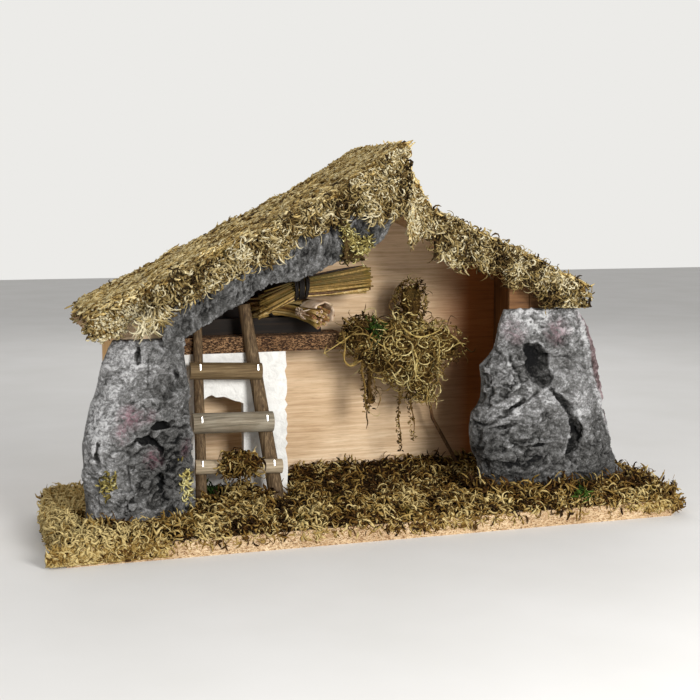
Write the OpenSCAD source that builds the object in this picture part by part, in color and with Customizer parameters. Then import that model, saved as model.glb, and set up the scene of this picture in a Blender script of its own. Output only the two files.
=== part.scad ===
// Wooden nativity stable with a moss roof, rock pillars, a loft, a ladder and a moss-covered base.
// X runs to the right, Y to the back, Z up. The origin is under the middle of the base board.

/* [Base board] */
// Length of the base board
base_w = 632; // [620:1:680]
// Depth of the base board
base_d = 210; // [206:1:250]
// Thickness of the base board
base_t = 16; // [12:0.5:22]
// Size of the sawn-off corner at the front right
base_clip = 20; // [8:1:30]
// How far the ends of the left edge stand in from its middle
base_bow = 12; // [2:1:16]

/* [Walls] */
// From the centre to the outer face of the left wall
box_left = 249; // [235:1:255]
// From the centre to the outer face of the right wall
box_right = 185; // [180:1:195]
// From the centre to the front face of the front panels
front_y = 30; // [26:1:36]
// From the rear edge of the base to the back wall
back_gap = 27; // [25:0.5:32]
// Thickness of the front panels
panel_t = 4; // [3:0.5:6]
// Thickness of the side walls
wall_t = 8; // [6:0.5:12]
// Thickness of the back wall
back_t = 5; // [3:0.5:8]
// Height of the left wall at its outer face
left_wall_h = 195; // [185:1:205]
// Height of the right wall at its outer face
right_wall_h = 221.5; // [212:0.5:230]
// Width of the front post on the left
post_w = 59; // [50:1:64]
// Depth of the sloping band of the left front panel
band_h = 33; // [20:1:38]
// Width of the front panel on the right
right_panel_w = 52; // [44:1:60]
// How far the right front panel reaches past the right wall
right_panel_out = 15; // [8:1:24]
// Width of the split in the right front panel
split_w = 1.4; // [0.6:0.2:3]
// Length of the split in the right front panel
split_len = 62; // [20:1:90]

/* [Roof] */
// Thickness of the roof boards
roof_t = 5; // [4:0.5:8]
// From the centre to the front edge of the roof boards
roof_front = 45; // [42:1:50]
// How far the roof boards reach behind the back wall
roof_back_over = 24; // [10:1:24]
// Slope of the left roof in degrees
left_pitch = 26.4; // [24:0.1:28]
// Slope of the right roof in degrees
right_pitch = 24.5; // [22:0.1:26]
// How far the left eave reaches past the left wall
left_eave = 26; // [15:1:32]
// How far the left roof reaches past the peak of the walls
left_ridge_over = 38; // [30:1:44]
// How far the right eave reaches past the right wall
right_eave = 40; // [20:1:48]

/* [Loft] */
// Thickness of the loft floor
loft_t = 16; // [12:0.5:20]
// From the top of the base to the underside of the loft
loft_h = 150; // [135:1:158]
// From the centre back to the front edge of the loft
loft_y = 30; // [26:1:36]
// Length of the loft floor
loft_w = 232; // [215:1:245]
// Height of the batten on the loft
batten_h = 16; // [10:1:20]
// Thickness of the batten on the loft
batten_t = 20; // [12:1:22]
// Length of the batten on the loft
batten_w = 214; // [150:1:215]

/* [Plaster wall] */
// Length of the plaster wall
plaster_w = 172; // [165:1:178]
// Thickness of the plaster wall
plaster_t = 10; // [6:0.5:14]
// How far the plaster face stands behind the loft edge
plaster_set = 1; // [0.5:0.5:4]
// Depth of the waves of the free edge
plaster_wave = 1.6; // [0:0.2:3]
// Width of the hatch
hatch_w = 40; // [30:1:46]
// Height of the hatch on its taller side
hatch_h = 74; // [60:1:90]
// Sill of the hatch above the base
hatch_sill = 34; // [20:1:45]
// From the free edge of the plaster to the hatch
hatch_in = 46; // [38:1:56]

/* [Ladder] */
// Where the foot of the ladder stands ahead of the centre
ladder_foot = 12; // [6:1:18]
// Length of the ladder along its slope
ladder_len = 203; // [196:1:208]
// Width of the left rail at its foot
rail_left_w = 11.6; // [9:0.2:13]
// Width of the right rail at its foot
rail_right_w = 16; // [12:0.2:17]
// From the centre to the foot of the left rail
rail_left_x = 166; // [162:0.5:170]
// From the centre to the foot of the right rail
rail_right_x = 88.6; // [86:0.5:96]
// How far the right rail leans towards the left rail at its top
rail_right_in = 24; // [16:1:26]
// How far the left rail leans towards the right rail at its top
rail_left_in = 5.5; // [0:0.5:9]
// Widths of the rungs, from the bottom one up
rung_w = [14.4, 20.2, 17]; // [12:0.2:22]
// Heights of the rungs along the ladder
rung_at = [42.4, 86, 137]; // [36:0.5:145]
// Left ends of the rungs, from the centre
rung_left_x = [171.5, 172, 172]; // [168:0.5:174]
// Right ends of the rungs, from the centre
rung_right_x = [84.6, 91.5, 100]; // [78:0.5:102]
// Sag of each rung in degrees, right end down
rung_sag = [2.8, 1.4, 2.5]; // [0:0.1:4]

/* [Rock] */
// How far the top of the left rock stands below the top of the left wall
rock_left_low = 21; // [17:0.5:30]
// How far the left rock flares past the left wall
rock_left_flare = 33; // [26:1:38]
// How far the left rock reaches in front of the panel at its foot
rock_left_depth = 48; // [40:1:50]
// How far the top of the right rock stands below the top of the right wall
rock_right_low = 29.5; // [27.5:0.5:40]
// How far the right rock flares to the left of its panel
rock_right_in = 44; // [34:1:48]
// How far the right rock flares to the right of its panel
rock_right_out = 84; // [70:1:88]
// How far the right rock reaches in front of the panel at its foot
rock_right_depth = 48; // [40:1:50]
// Length of the rock arch
arch_len = 242; // [238:1:244]
// From the centre to the left end of the rock arch
arch_left = 209; // [206:1:211]
// Thickness of the rock arch
arch_t = 25; // [20:1:28]
// Height of the lumps of the rocks
lump = 3.2; // [0:0.2:4]
// Spacing of the lumps of the rocks
lump_pitch = 26; // [18:1:40]
// Depth of the cracks of the rocks
crack = 3; // [0:0.2:4]
// Spacing of the cracks of the rocks
crack_pitch = 22; // [16:1:34]
// Depth of the hollow in the right rock
hollow = 17; // [4:1:19]

/* [Straw and tree] */
// Thickness of a stalk of the long sheaf
stalk = 2.8; // [2.2:0.1:3.2]
// Thickness of a stalk of the short sheaf
short_stalk = 2.8; // [2.2:0.1:2.9]
// Length of the cut half of the long sheaf
sheaf_cut = 72; // [60:1:80]
// Length of the loose half of the long sheaf
sheaf_loose = 44; // [30:1:45]
// Length of the cut half of the short sheaf
sheaf_short = 57; // [44:1:58]
// Thickness of the tree trunk at its foot
trunk = 4.8; // [3.6:0.2:6]
// Height of the tree above the base
tree_h = 196; // [180:1:204]

/* [Moss] */
// Thickness of the roof moss
roof_moss = 11; // [7:0.5:14]
// How far the moss hangs over the front of the left roof
moss_drop_left = 18; // [10:1:22]
// How far the moss hangs over the front of the right roof
moss_drop_right = 27; // [14:1:28]
// Thickness of the ground moss
ground_moss = 12; // [7:0.5:15]
// How high the moss is heaped against the back wall
heap = 12; // [0:0.5:16]
// Height of the lumps in the moss
tuft = 3; // [0:0.2:4]
// Spacing of the lumps in the moss
tuft_pitch = 17; // [12:1:30]

/* [Hidden] */

// Overrun of the cuts, seat clearance and clearance of soft pieces
over = 1;
seat = 0.1;
soft = 0.3;

// Lines of the roof: height of the underside of each roof board over a place x
base_top = base_t;
back_y = base_d / 2 - back_gap - back_t;
function under_left(x) = base_top + left_wall_h + (x + box_left) * tan(left_pitch);
function under_right(x) = base_top + right_wall_h + (box_right - x) * tan(right_pitch);
peak_x = (right_wall_h - left_wall_h + box_right * tan(right_pitch) - box_left * tan(left_pitch))
    / (tan(left_pitch) + tan(right_pitch));
peak_z = under_left(peak_x);
ridge_x = peak_x + left_ridge_over;
roof_back = back_y + back_t + roof_back_over;
roof_rise_left = roof_t / cos(left_pitch);
roof_rise_right = roof_t / cos(right_pitch);

// Blends, and a smooth random field between -1 and 1
function mix(a, b, t) = a + (b - a) * t;
function clip01(t) = min(1, max(0, t));
function smooth(t) = t * t * (3 - 2 * t);
function grain(i, j, seed) = rands(-1, 1, 1, seed + 61 * i + 977 * j)[0];
far_cell = 40;
function noise(x, y, seed) =
    let (i = far_cell + floor(x), j = far_cell + floor(y), u = smooth(x - floor(x)), v = smooth(y - floor(y)))
    mix(mix(grain(i, j, seed), grain(i + 1, j, seed), u),
        mix(grain(i, j + 1, seed), grain(i + 1, j + 1, seed), u), v);
function unit(v) = v / norm(v);

// Solid between two sheets of points with as many rows and columns, rows running up
// and columns to the right as the outer sheet is seen
module sheet_solid(outer, inner) {
    rows = len(outer);
    cols = len(outer[0]);
    n = rows * cols;
    grid = [for (r = [0:rows - 2], c = [0:cols - 2]) [r * cols + c, 1]];
    front = [for (g = grid) let (a = g[0], b = a + 1, d = a + cols, e = d + 1)
        each [[a, d, e], [a, e, b]]];
    back = [for (g = grid) let (a = n + g[0], b = a + 1, d = a + cols, e = d + 1)
        each [[a, e, d], [a, b, e]]];
    low = [for (c = [0:cols - 2]) let (a = c, b = c + 1) each [[a, b, n + b], [a, n + b, n + a]]];
    top = [for (c = [0:cols - 2]) let (d = n - cols + c, e = d + 1)
        each [[e, d, n + d], [e, n + d, n + e]]];
    left = [for (r = [0:rows - 2]) let (a = r * cols, d = a + cols)
        each [[d, a, n + a], [d, n + a, n + d]]];
    right = [for (r = [0:rows - 2]) let (b = r * cols + cols - 1, e = b + cols)
        each [[b, e, n + e], [b, n + e, n + b]]];
    polyhedron(points = concat([for (r = outer) each r], [for (r = inner) each r]),
        faces = concat(front, back, low, top, left, right), convexity = 8);
}

// Closed tube through a list of rings of points
module tube(rings) {
    n = len(rings);
    sides = len(rings[0]);
    walls = [for (i = [0:n - 2], k = [0:sides - 1])
        let (a = i * sides + k, b = i * sides + (k + 1) % sides, d = a + sides, e = b + sides)
        each [[a, d, e], [a, e, b]]];
    foot = [for (k = [0:sides - 1]) k];
    tip = [for (k = [sides - 1:-1:0]) (n - 1) * sides + k];
    polyhedron(points = [for (r = rings) each r], faces = concat(walls, [foot, tip]), convexity = 4);
}

// Round twig through a list of points, with a radius at each
module twig(path, radii, sides) {
    n = len(path);
    heading = [for (i = [0:n - 1]) unit(path[min(i + 1, n - 1)] - path[max(i - 1, 0)])];
    tube([for (i = [0:n - 1])
        let (e = unit(cross(heading[i], [0, 1, 0])), f = cross(heading[i], e))
        [for (k = [0:sides - 1])
            path[i] + radii[i] * (e * cos(360 * k / sides) + f * sin(360 * k / sides))]]);
}

// Lumpy clump of the given size around its middle
module clump(size, seed) {
    rows = 7;
    cols = 12;
    lump_share = 0.16;
    shell = [for (r = [1:rows - 1], c = [0:cols - 1])
        let (lat = 180 * r / rows, lon = 360 * c / cols,
            swell = 1 + lump_share * grain(r, c, seed))
        [size[0] / 2 * sin(lat) * cos(lon), size[1] / 2 * sin(lat) * sin(lon),
            size[2] / 2 * cos(lat)] * swell];
    n = len(shell);
    walls = [for (r = [0:rows - 3], c = [0:cols - 1])
        let (a = r * cols + c, b = r * cols + (c + 1) % cols, d = a + cols, e = b + cols)
        each [[a, b, e], [a, e, d]]];
    top = [for (c = [0:cols - 1]) [n, (c + 1) % cols, c]];
    low = [for (c = [0:cols - 1]) [n + 1, n - cols + c, n - cols + (c + 1) % cols]];
    polyhedron(points = concat(shell, [[0, 0, size[2] / 2], [0, 0, -size[2] / 2]]),
        faces = concat(walls, top, low), convexity = 6);
}

// Slice of the house between two places in Y, with an outline in X and Z
module slice(y0, y1) {
    translate([0, y1, 0]) rotate([90, 0, 0]) linear_extrude(y1 - y0) children();
}

// Base board: the left edge is bowed, the front right corner is sawn off
bow_steps = 8;
function base_left(y) = -base_w / 2 + base_bow * (1 - sin(180 * (y + base_d / 2) / base_d));
module base_board() {
    color("burlywood") linear_extrude(base_t) polygon(concat(
        [[base_w / 2 - base_clip, -base_d / 2], [base_w / 2, base_clip - base_d / 2],
            [base_w / 2, base_d / 2]],
        [for (i = [bow_steps:-1:0]) let (y = mix(-base_d / 2, base_d / 2, i / bow_steps))
            [base_left(y), y]]));
}

// Staples: a flat wire crown with two legs, crown in the XZ plane at y = 0, legs towards +Y
crown_w = 5.7;
wire = 1;
wire_t = 0.6;
module staple(leg, gap) {
    for (side = [-1, 1]) {
        translate([-wire / 2 - gap, -gap, side * (crown_w - wire) / 2 - wire / 2 - gap])
            cube([wire + 2 * gap, leg + gap, wire + 2 * gap]);
    }
    translate([-wire / 2 - gap, -wire_t, -crown_w / 2 - gap])
        cube([wire + 2 * gap, wire_t, crown_w + 2 * gap]);
}

// Staples through the back wall into the ends of the side walls
back_leg = 12;
back_staple_shares = [0.2, 0.5, 0.8];
module at_back_staples() {
    for (s = back_staple_shares) {
        translate([wall_t / 2 - box_left, back_y + back_t, base_top + s * left_wall_h])
            rotate([0, 0, 180]) children();
        translate([box_right - wall_t / 2, back_y + back_t, base_top + s * right_wall_h])
            rotate([0, 0, 180]) children();
    }
}
module back_staples() {
    color("silver") at_back_staples() staple(back_leg, 0);
}

// Back wall, cut to both slopes
module back_wall() {
    color("tan") difference() {
        slice(back_y, back_y + back_t) polygon([[-box_left, base_top], [box_right, base_top],
            [box_right, under_right(box_right)], [peak_x, peak_z],
            [-box_left, under_left(-box_left)]]);
        at_back_staples() staple(back_leg, seat);
    }
}

// Side walls, bevelled at the top to the slope they carry
module left_wall() {
    color("sandybrown") difference() {
        slice(panel_t - front_y, back_y) polygon([[-box_left, base_top],
            [wall_t - box_left, base_top], [wall_t - box_left, under_left(wall_t - box_left)],
            [-box_left, under_left(-box_left)]]);
        at_back_staples() staple(back_leg, seat);
    }
}
module right_wall() {
    color("peru") difference() {
        slice(panel_t - front_y, back_y) polygon([[box_right - wall_t, base_top],
            [box_right, base_top], [box_right, under_right(box_right)],
            [box_right - wall_t, under_right(box_right - wall_t)]]);
        at_back_staples() staple(back_leg, seat);
    }
}

// Front panels: a post with a sloping band on the left, a split board on the right
post_x = post_w - box_left;
module front_gable_left() {
    color("wheat") slice(-front_y, panel_t - front_y) polygon([[-box_left, base_top],
        [post_x, base_top], [post_x, under_left(post_x) - band_h],
        [peak_x, peak_z - band_h], [peak_x, peak_z], [-box_left, under_left(-box_left)]]);
}
right_panel_x = box_right + right_panel_out;
split_share = 0.42;
module front_panel_right() {
    x0 = right_panel_x - right_panel_w;
    split_x = x0 + split_share * right_panel_w;
    color("sienna") slice(-front_y, panel_t - front_y) difference() {
        polygon([[x0, base_top], [right_panel_x, base_top],
            [right_panel_x, under_right(right_panel_x)], [x0, under_right(x0)]]);
        polygon([[split_x, under_right(split_x) - split_len], [split_x + split_w, under_right(split_x) + over],
            [split_x, under_right(split_x) + over]]);
    }
}

// Roof boards: the left one passes over the peak, the right one is mitred against it
module left_slope() {
    translate([-box_left, 0, base_top + left_wall_h]) rotate([0, -left_pitch, 0]) children();
}
module roof_board_left() {
    start = -left_eave / cos(left_pitch);
    end = (box_left + ridge_x) / cos(left_pitch);
    color("burlywood") left_slope() translate([start, -roof_front, 0])
        cube([end - start, roof_front + roof_back, roof_t]);
}
module roof_board_right() {
    reach = (box_right - peak_x) / cos(right_pitch) + roof_t;
    color("burlywood") difference() {
        translate([box_right, 0, base_top + right_wall_h]) rotate([0, right_pitch, 0])
            translate([-reach, -roof_front, 0])
                cube([reach + right_eave / cos(right_pitch), roof_front + roof_back, roof_t]);
        left_slope() translate([0, -roof_front - over, 0])
            cube([2 * box_left, roof_front + roof_back + 2 * over, 4 * roof_t]);
    }
}

// Loft
loft_z = base_top + loft_h;
loft_top = loft_z + loft_t;
wall_in = wall_t - box_left;
module loft_floor() {
    color("peru") translate([wall_in, loft_y, loft_z]) cube([loft_w, back_y - loft_y, loft_t]);
}
module loft_batten() {
    color("dimgray") translate([wall_in, back_y - batten_t, loft_top])
        cube([batten_w, batten_t, batten_h]);
}

// Plaster wall: wavy free edge, hatch with a ragged sloping head
wave_steps = 30;
head_steps = 10;
hatch_head_shares = [[0, 0.955], [0.16, 1], [0.5, 0.96], [0.85, 0.91], [1, 0.87]];
head_rag = 1.2;
module plaster_wall() {
    edge_x = wall_in + plaster_w;
    hatch_x = edge_x - hatch_in - hatch_w;
    sill_z = base_top + hatch_sill;
    y0 = loft_y + plaster_set;
    color("white") slice(y0, y0 + plaster_t) difference() {
        polygon(concat([[wall_in, loft_z], [wall_in, base_top]],
            [for (i = [0:wave_steps]) let (s = i / wave_steps)
                [edge_x - plaster_wave * abs(noise(wave_steps * s / 2, 0, 5)) * 2,
                    mix(base_top, loft_z, s)]]));
        polygon(concat([[hatch_x + hatch_w, sill_z], [hatch_x, sill_z]],
            [for (i = [0:head_steps]) let (s = i / head_steps)
                [hatch_x + s * hatch_w, sill_z + hatch_h * lookup(s, hatch_head_shares)
                    + head_rag * grain(i, 0, 9)]]));
    }
}

// Ladder: split twigs, round side forward; its back rests on the front edge of the loft floor
rail_top_share = 0.78;
loft_run = [loft_y + ladder_foot, loft_top - base_top];
rail_rest = rail_right_w / 2 * mix(1, rail_top_share, loft_run[1] / ladder_len) + seat;
ladder_lean = atan(loft_run[0] / loft_run[1]) - asin(rail_rest / norm(loft_run));
module on_ladder() {
    translate([0, -ladder_foot, base_top]) rotate([-ladder_lean, 0, 0]) children();
}
rail_x = [-rail_left_x, -rail_right_x];
rail_in = [rail_left_in, -rail_right_in];
rail_r = [rail_left_w / 2, rail_right_w / 2];
rail_sink = 6;
module rail(i) {
    r0 = rail_r[i];
    r1 = r0 * rail_top_share;
    rise = norm([ladder_len, rail_in[i], r0 - r1]);
    difference() {
        on_ladder() translate([rail_x[i], r0 + seat, 0])
            rotate([asin((r0 - r1) / rise), asin(rail_in[i] / rise), 0]) difference() {
                translate([0, 0, -rail_sink]) cylinder(h = rise + rail_sink, r1 = r0, r2 = r1, $fn = 40);
                translate([-r0 - over, 0, -rail_sink - over])
                    cube([2 * r0 + 2 * over, r0 + over, rise + rail_sink + 2 * over]);
            }
        translate([rail_x[i] - 2 * r0, -ladder_foot - 2 * r0 - rail_sink, base_top - 2 * rail_sink])
            cube([4 * r0, 4 * r0 + 2 * rail_sink, 2 * rail_sink]);
        at_ladder_staples() staple(ladder_leg, seat);
    }
}
module ladder_rail_left() {
    color("rosybrown") rail(0);
}
module ladder_rail_right() {
    color("rosybrown") rail(1);
}
function rail_at(i, w) = rail_x[i] + rail_in[i] * w / ladder_len;
module rung_shape(i, gap) {
    r = rung_w[i] / 2 + gap;
    length = rung_left_x[i] - rung_right_x[i];
    on_ladder() translate([-rung_left_x[i], gap, rung_at[i] + length / 2 * sin(rung_sag[i])])
        rotate([0, rung_sag[i], 0]) difference() {
            rotate([0, 90, 0]) cylinder(h = length, r = r, $fn = 48);
            translate([-over, 0, -r - over]) cube([length + 2 * over, r + over, 2 * r + 2 * over]);
        }
}
module rung(i) {
    difference() {
        rung_shape(i, 0);
        at_ladder_staples() staple(ladder_leg, seat);
    }
}
module ladder_rung_bottom() {
    color("rosybrown") rung(0);
}
module ladder_rung_middle() {
    color("darkgray") rung(1);
}
module ladder_rung_top() {
    color("rosybrown") rung(2);
}

// Ladder staples stand upright across each rung, over the crest of each rail
ladder_leg = 13;
staple_up = 3;
module at_ladder_staples() {
    on_ladder() for (i = [0:len(rung_at) - 1], k = [0, 1]) {
        x = rail_at(k, rung_at[i]);
        drop = (x + (rung_left_x[i] + rung_right_x[i]) / 2) * tan(rung_sag[i]);
        translate([x, -rung_w[i] / 2, rung_at[i] - drop + staple_up]) children();
    }
}
module ladder_staples() {
    color("silver") at_ladder_staples() staple(ladder_leg, 0);
}

// Rocks: lumps, level ledges and cracks
rock_left_h = left_wall_h - rock_left_low;
rock_right_h = right_wall_h - rock_right_low;
ledge_share = 0.45;
ledge_stretch_share = 2.6;
crack_stretch_share = 1.7;
crack_sharp_share = 6;
function rock_relief(s, z, seed) =
    lump * noise(s / lump_pitch, z / lump_pitch, seed)
    + lump * ledge_share * noise(s / lump_pitch * ledge_share, z / lump_pitch * ledge_stretch_share, seed + 7)
    - crack * max(0, 1 - crack_sharp_share * abs(noise(s / crack_pitch, z / crack_pitch / crack_stretch_share, seed + 13)));

// Rock standing in front of a panel: it hugs the panel face between two corners and flares past both.
// form holds the places of its left and right edges, how far their rear ends reach behind the panel
// face, and its depth, each by share of its height.
rock_cols = 24;
rock_rows = 24;
rock_wrap = 3;
rock_rim = 2.4;
rock_fullness_share = 0.5;
rock_crest_share = 0.012;
rock_rear = -front_y - soft;
// Bare surface at a share u of the way round and a share v of the way up
function rock_spot(form, h, u, v) = let (x0 = lookup(v, form[0]), x1 = lookup(v, form[1]),
        back = rock_rear + mix(lookup(v, form[2]), lookup(v, form[3]), u))
    [mix(x0, x1, (1 - cos(180 * u)) / 2),
        back - (lookup(v, form[4]) + back - rock_rear) * pow(sin(180 * u), rock_fullness_share),
        base_top + h * v];
module rock(form, corners, h, seed) {
    pts = [for (j = [0:rock_rows]) let (v = j / rock_rows, depth = lookup(v, form[4]),
            middle = (lookup(v, form[0]) + lookup(v, form[1])) / 2)
        [for (i = [0:rock_cols]) let (u = i / rock_cols, p = rock_spot(form, h, u, v),
                out = unit([p[0] - middle, (p[1] - rock_rear - depth) * 1.4]),
                fade = clip01(5 * sin(180 * u)),
                relief = fade * rock_relief(p[0] + 2 * p[1], h * v, seed))
            [p[0] + out[0] * relief, min(p[1] + out[1] * relief, rock_rear - rock_rim * fade),
                base_top + h * v * (1 + rock_crest_share * fade * grain(i, 3, seed))]]];
    inner = [for (j = [0:rock_rows]) let (v = j / rock_rows, a = pts[j][0], b = pts[j][rock_cols])
        [for (i = [0:rock_cols]) let (k = rock_cols - i,
                p = i < rock_wrap ? mix([a[0] + rock_rim, a[1] + rock_rim / 4], [corners[0], rock_rear], i / rock_wrap)
                    : k < rock_wrap ? mix([b[0] - rock_rim, b[1] + rock_rim / 4], [corners[1], rock_rear], k / rock_wrap)
                    : [mix(corners[0], corners[1], (i - rock_wrap) / (rock_cols - 2 * rock_wrap)), rock_rear])
            [p[0], p[1], base_top + h * v]]];
    sheet_solid(pts, inner);
}

// Groove with steep walls cut into a rock: it runs through places given as shares of the width and
// height of the rock, and wides and deeps are its half widths and depths there
groove_sides = 8;
module groove(form, h, place_shares, wides, deeps) {
    n = len(place_shares);
    path = [for (s = place_shares) rock_spot(form, h, acos(1 - 2 * s[0]) / 180, s[1])];
    tube([for (i = [0:n - 1])
        let (run = path[min(i + 1, n - 1)] - path[max(i - 1, 0)], side = unit([run[2], 0, -run[0]]))
        [for (k = [0:groove_sides - 1]) let (t = 360 * (k + 0.5) / groove_sides)
            path[i] + wides[i] * cos(t) * side + [0, deeps[i] * sin(t), 0]]]);
}
// Narrow crack, tapered at both ends
cleft_wide = 2.6;
cleft_deep = 8;
cleft_tip_share = 0.3;
module cleft(form, h, place_shares) {
    last = len(place_shares) - 1;
    taper_shares = [for (i = [0:last]) i == 0 || i == last ? cleft_tip_share : 1];
    groove(form, h, place_shares, cleft_wide * taper_shares, cleft_deep * taper_shares);
}
function scaled(table, size, from) = [for (t = table) [t[0], from + size * t[1]]];

// Left rock: flares in steps to the left below the wall strip, nearly straight on the right
rock_left_edge_shares = [[0, 0.92], [0.31, 0.96], [0.44, 1], [0.6, 0.82], [0.66, 0.76], [0.72, 0.6],
    [0.86, 0.42], [0.94, 0.24], [1, 0.08]];
rock_left_over_share = 1.04;
rock_left_right_shares = [[0, 1.02], [0.4, rock_left_over_share], [0.75, 1.01], [1, 0.94]];
rock_left_rear_shares = [[0, 0.6], [0.4, 0.5], [0.8, 0.15], [1, 0]];
rock_top_depth_share = 0.36;
rock_depth_shares = [[0, 1], [0.4, 0.82], [0.8, 0.5], [1, rock_top_depth_share]];
rock_left_w = post_w + 7;
rock_left_cleft_shares = [[[0.41, 0.49], [0.49, 0.48], [0.57, 0.49], [0.67, 0.44], [0.66, 0.38]],
    [[0.6, 0.545], [0.7, 0.56], [0.82, 0.575]], [[0.11, 0.5], [0.1, 0.41], [0.12, 0.31]],
    [[0.62, 0.34], [0.66, 0.28], [0.64, 0.2]], [[0.82, 0.85], [0.85, 0.81], [0.88, 0.77]],
    [[0.36, 0.97], [0.37, 0.92], [0.4, 0.86]], [[0.3, 0.66], [0.38, 0.68], [0.46, 0.67]]];
module rock_pillar_left() {
    form = [scaled(rock_left_edge_shares, -rock_left_flare, -box_left),
        scaled(rock_left_right_shares, rock_left_w, -box_left),
        scaled(rock_left_rear_shares, rock_left_flare, 0), [[0, 0], [1, 0]],
        scaled(rock_depth_shares, rock_left_depth, 0)];
    color("slategray") difference() {
        rock(form, [-box_left - soft, post_x + soft], rock_left_h, 21);
        for (c = rock_left_cleft_shares) cleft(form, rock_left_h, c);
    }
}

// Right rock: wide stepped foot, deep hollow in the upper half, fissure running down from it
rock_right_left_shares = [[0, 0.74], [0.15, 0.76], [0.21, 0.8], [0.26, 0.95], [0.37, 1], [0.46, 0.95], [0.52, 0.72],
    [0.62, 0.7], [0.72, 0.76], [0.765, 0.46], [0.84, 0.35], [0.93, 0.28], [1, 0.16]];
rock_right_right_shares = [[0, 1], [0.2, 0.76], [0.47, 0.63], [0.75, 0.53], [0.92, 0.4], [1, 0.28]];
rock_right_rear_shares = [[0, 0.36], [0.5, 0.12], [1, 0]];
hollow_shares = [[0.22, 0.815], [0.31, 0.785], [0.375, 0.745], [0.405, 0.69], [0.424, 0.635], [0.437, 0.59]];
hollow_wide = 15;
hollow_wide_shares = [0.2, 0.67, 1, 0.9, 0.8, 0.3];
hollow_deep_shares = [0.25, 0.8, 1, 1, 0.85, 0.4];
fissure_shares = [[0.46, 0.6], [0.545, 0.53], [0.631, 0.484], [0.659, 0.432], [0.68, 0.365], [0.638, 0.302],
    [0.585, 0.237], [0.61, 0.18]];
fissure_wide = 8;
fissure_deep = 15;
fissure_width_shares = [0.2, 0.5, 0.65, 0.75, 1, 0.95, 0.75, 0.3];
rock_right_cleft_shares = [[[0.05, 0.385], [0.15, 0.4], [0.27, 0.427]], [[0.13, 0.46], [0.2, 0.5], [0.27, 0.547]],
    [[0.1, 0.62], [0.16, 0.6], [0.22, 0.63]], [[0.3, 0.3], [0.4, 0.31], [0.5, 0.295]]];
module rock_pillar_right() {
    x0 = right_panel_x - right_panel_w;
    form = [scaled(rock_right_left_shares, -rock_right_in, x0),
        scaled(rock_right_right_shares, rock_right_out, right_panel_x),
        [[0, 0], [1, 0]], scaled(rock_right_rear_shares, rock_right_out, 0),
        scaled(rock_depth_shares, rock_right_depth, 0)];
    color("slategray") difference() {
        rock(form, [x0 - soft, right_panel_x + soft], rock_right_h, 33);
        groove(form, rock_right_h, hollow_shares, hollow_wide * hollow_wide_shares, hollow * hollow_deep_shares);
        groove(form, rock_right_h, fissure_shares, fissure_wide * fissure_width_shares,
            fissure_deep * fissure_width_shares);
        for (c = rock_right_cleft_shares) cleft(form, rock_right_h, c);
    }
}

// Rock arch: hangs in front of the gable band and the front edges of the roof boards.
// Its lower edge rises in steps to a tip at the peak.
arch_edge_shares = [[0, 0], [0.04, 0.03], [0.09, 0.06], [0.14, 0.125], [0.21, 0.21], [0.27, 0.275],
    [0.32, 0.295], [0.37, 0.385], [0.41, 0.42], [0.53, 0.455], [0.61, 0.495], [0.7, 0.585],
    [0.8, 0.64], [0.86, 0.7], [0.89, 0.76], [0.91, 0.85], [0.945, 0.9], [1, 0.955]];
arch_rise = 133;
arch_tip = 166;
arch_cols = 36;
arch_rows = 9;
arch_belly = 5;
arch_fade = 10;
arch_right = arch_len - arch_left;
// Lowest height of the arch, and the height it reaches up to: the left roof, then down to the right one
tip_start = ridge_x - 2 * arch_fade;
function arch_low(x) = base_top + arch_tip + arch_rise * lookup((x + arch_left) / arch_len, arch_edge_shares);
function arch_high(x) = mix(under_left(x) + roof_rise_left, under_right(x) + roof_rise_right,
    clip01((x - tip_start) / (ridge_x - tip_start))) - soft;
function arch_face(x, z) = let (t = clip01((z - arch_low(x)) / (arch_high(x) - arch_low(x))))
    -front_y - arch_t - arch_belly * sin(180 * t) * (1 - t) + rock_relief(x, z, 51) * smooth(clip01(2 - 2 * t));
module rock_arch() {
    back = -front_y - soft;
    lip = -roof_front - soft;
    // in front of the left rock the back of the arch steps forward
    rock_top = base_top + rock_left_h * (1 + 2 * rock_crest_share) + soft;
    rock_end = rock_left_w * rock_left_over_share - box_left + arch_fade;
    step_face = -front_y - rock_left_depth * rock_top_depth_share - lump - crack - soft;
    cols = [for (i = [0:arch_cols]) mix(-arch_left, arch_right, i / arch_cols)];
    outer = [for (j = [0:arch_rows]) [for (x = cols) let (z = mix(arch_low(x), arch_high(x), j / arch_rows))
        [x, arch_face(x, z), z]]];
    inner = [for (j = [0:arch_rows]) [for (x = cols) let (low = arch_low(x) + over, high = arch_high(x),
            ceiling = min(under_left(x), under_right(x)) - soft,
            near = x < rock_end ? step_face : back,
            step = x < rock_end ? max(low + over, rock_top) : low + over)
        x > peak_x ? [x, lip, mix(low, high, j / arch_rows)]
            : j == 0 ? [x, near, low]
            : j == 1 ? [x, near, step]
            : j < arch_rows ? [x, j == arch_rows - 1 ? lip : back,
                mix(step + soft, ceiling, min(1, (j - 2) / (arch_rows - 4)))]
            : [x, lip, high]]];
    color("slategray") sheet_solid(outer, inner);
}

// Straw: stalks packed in a hexagon, each bent once where the tie holds them
sheaf_rings = 3;
stalk_gap = 0.25;
stalk_sides = 5;
rag = 5;
function hexagon(n) = [for (i = [-n:n], j = [-n:n]) if (abs(i + j) <= n)
    [i + j / 2, j * sin(60)]];
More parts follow.
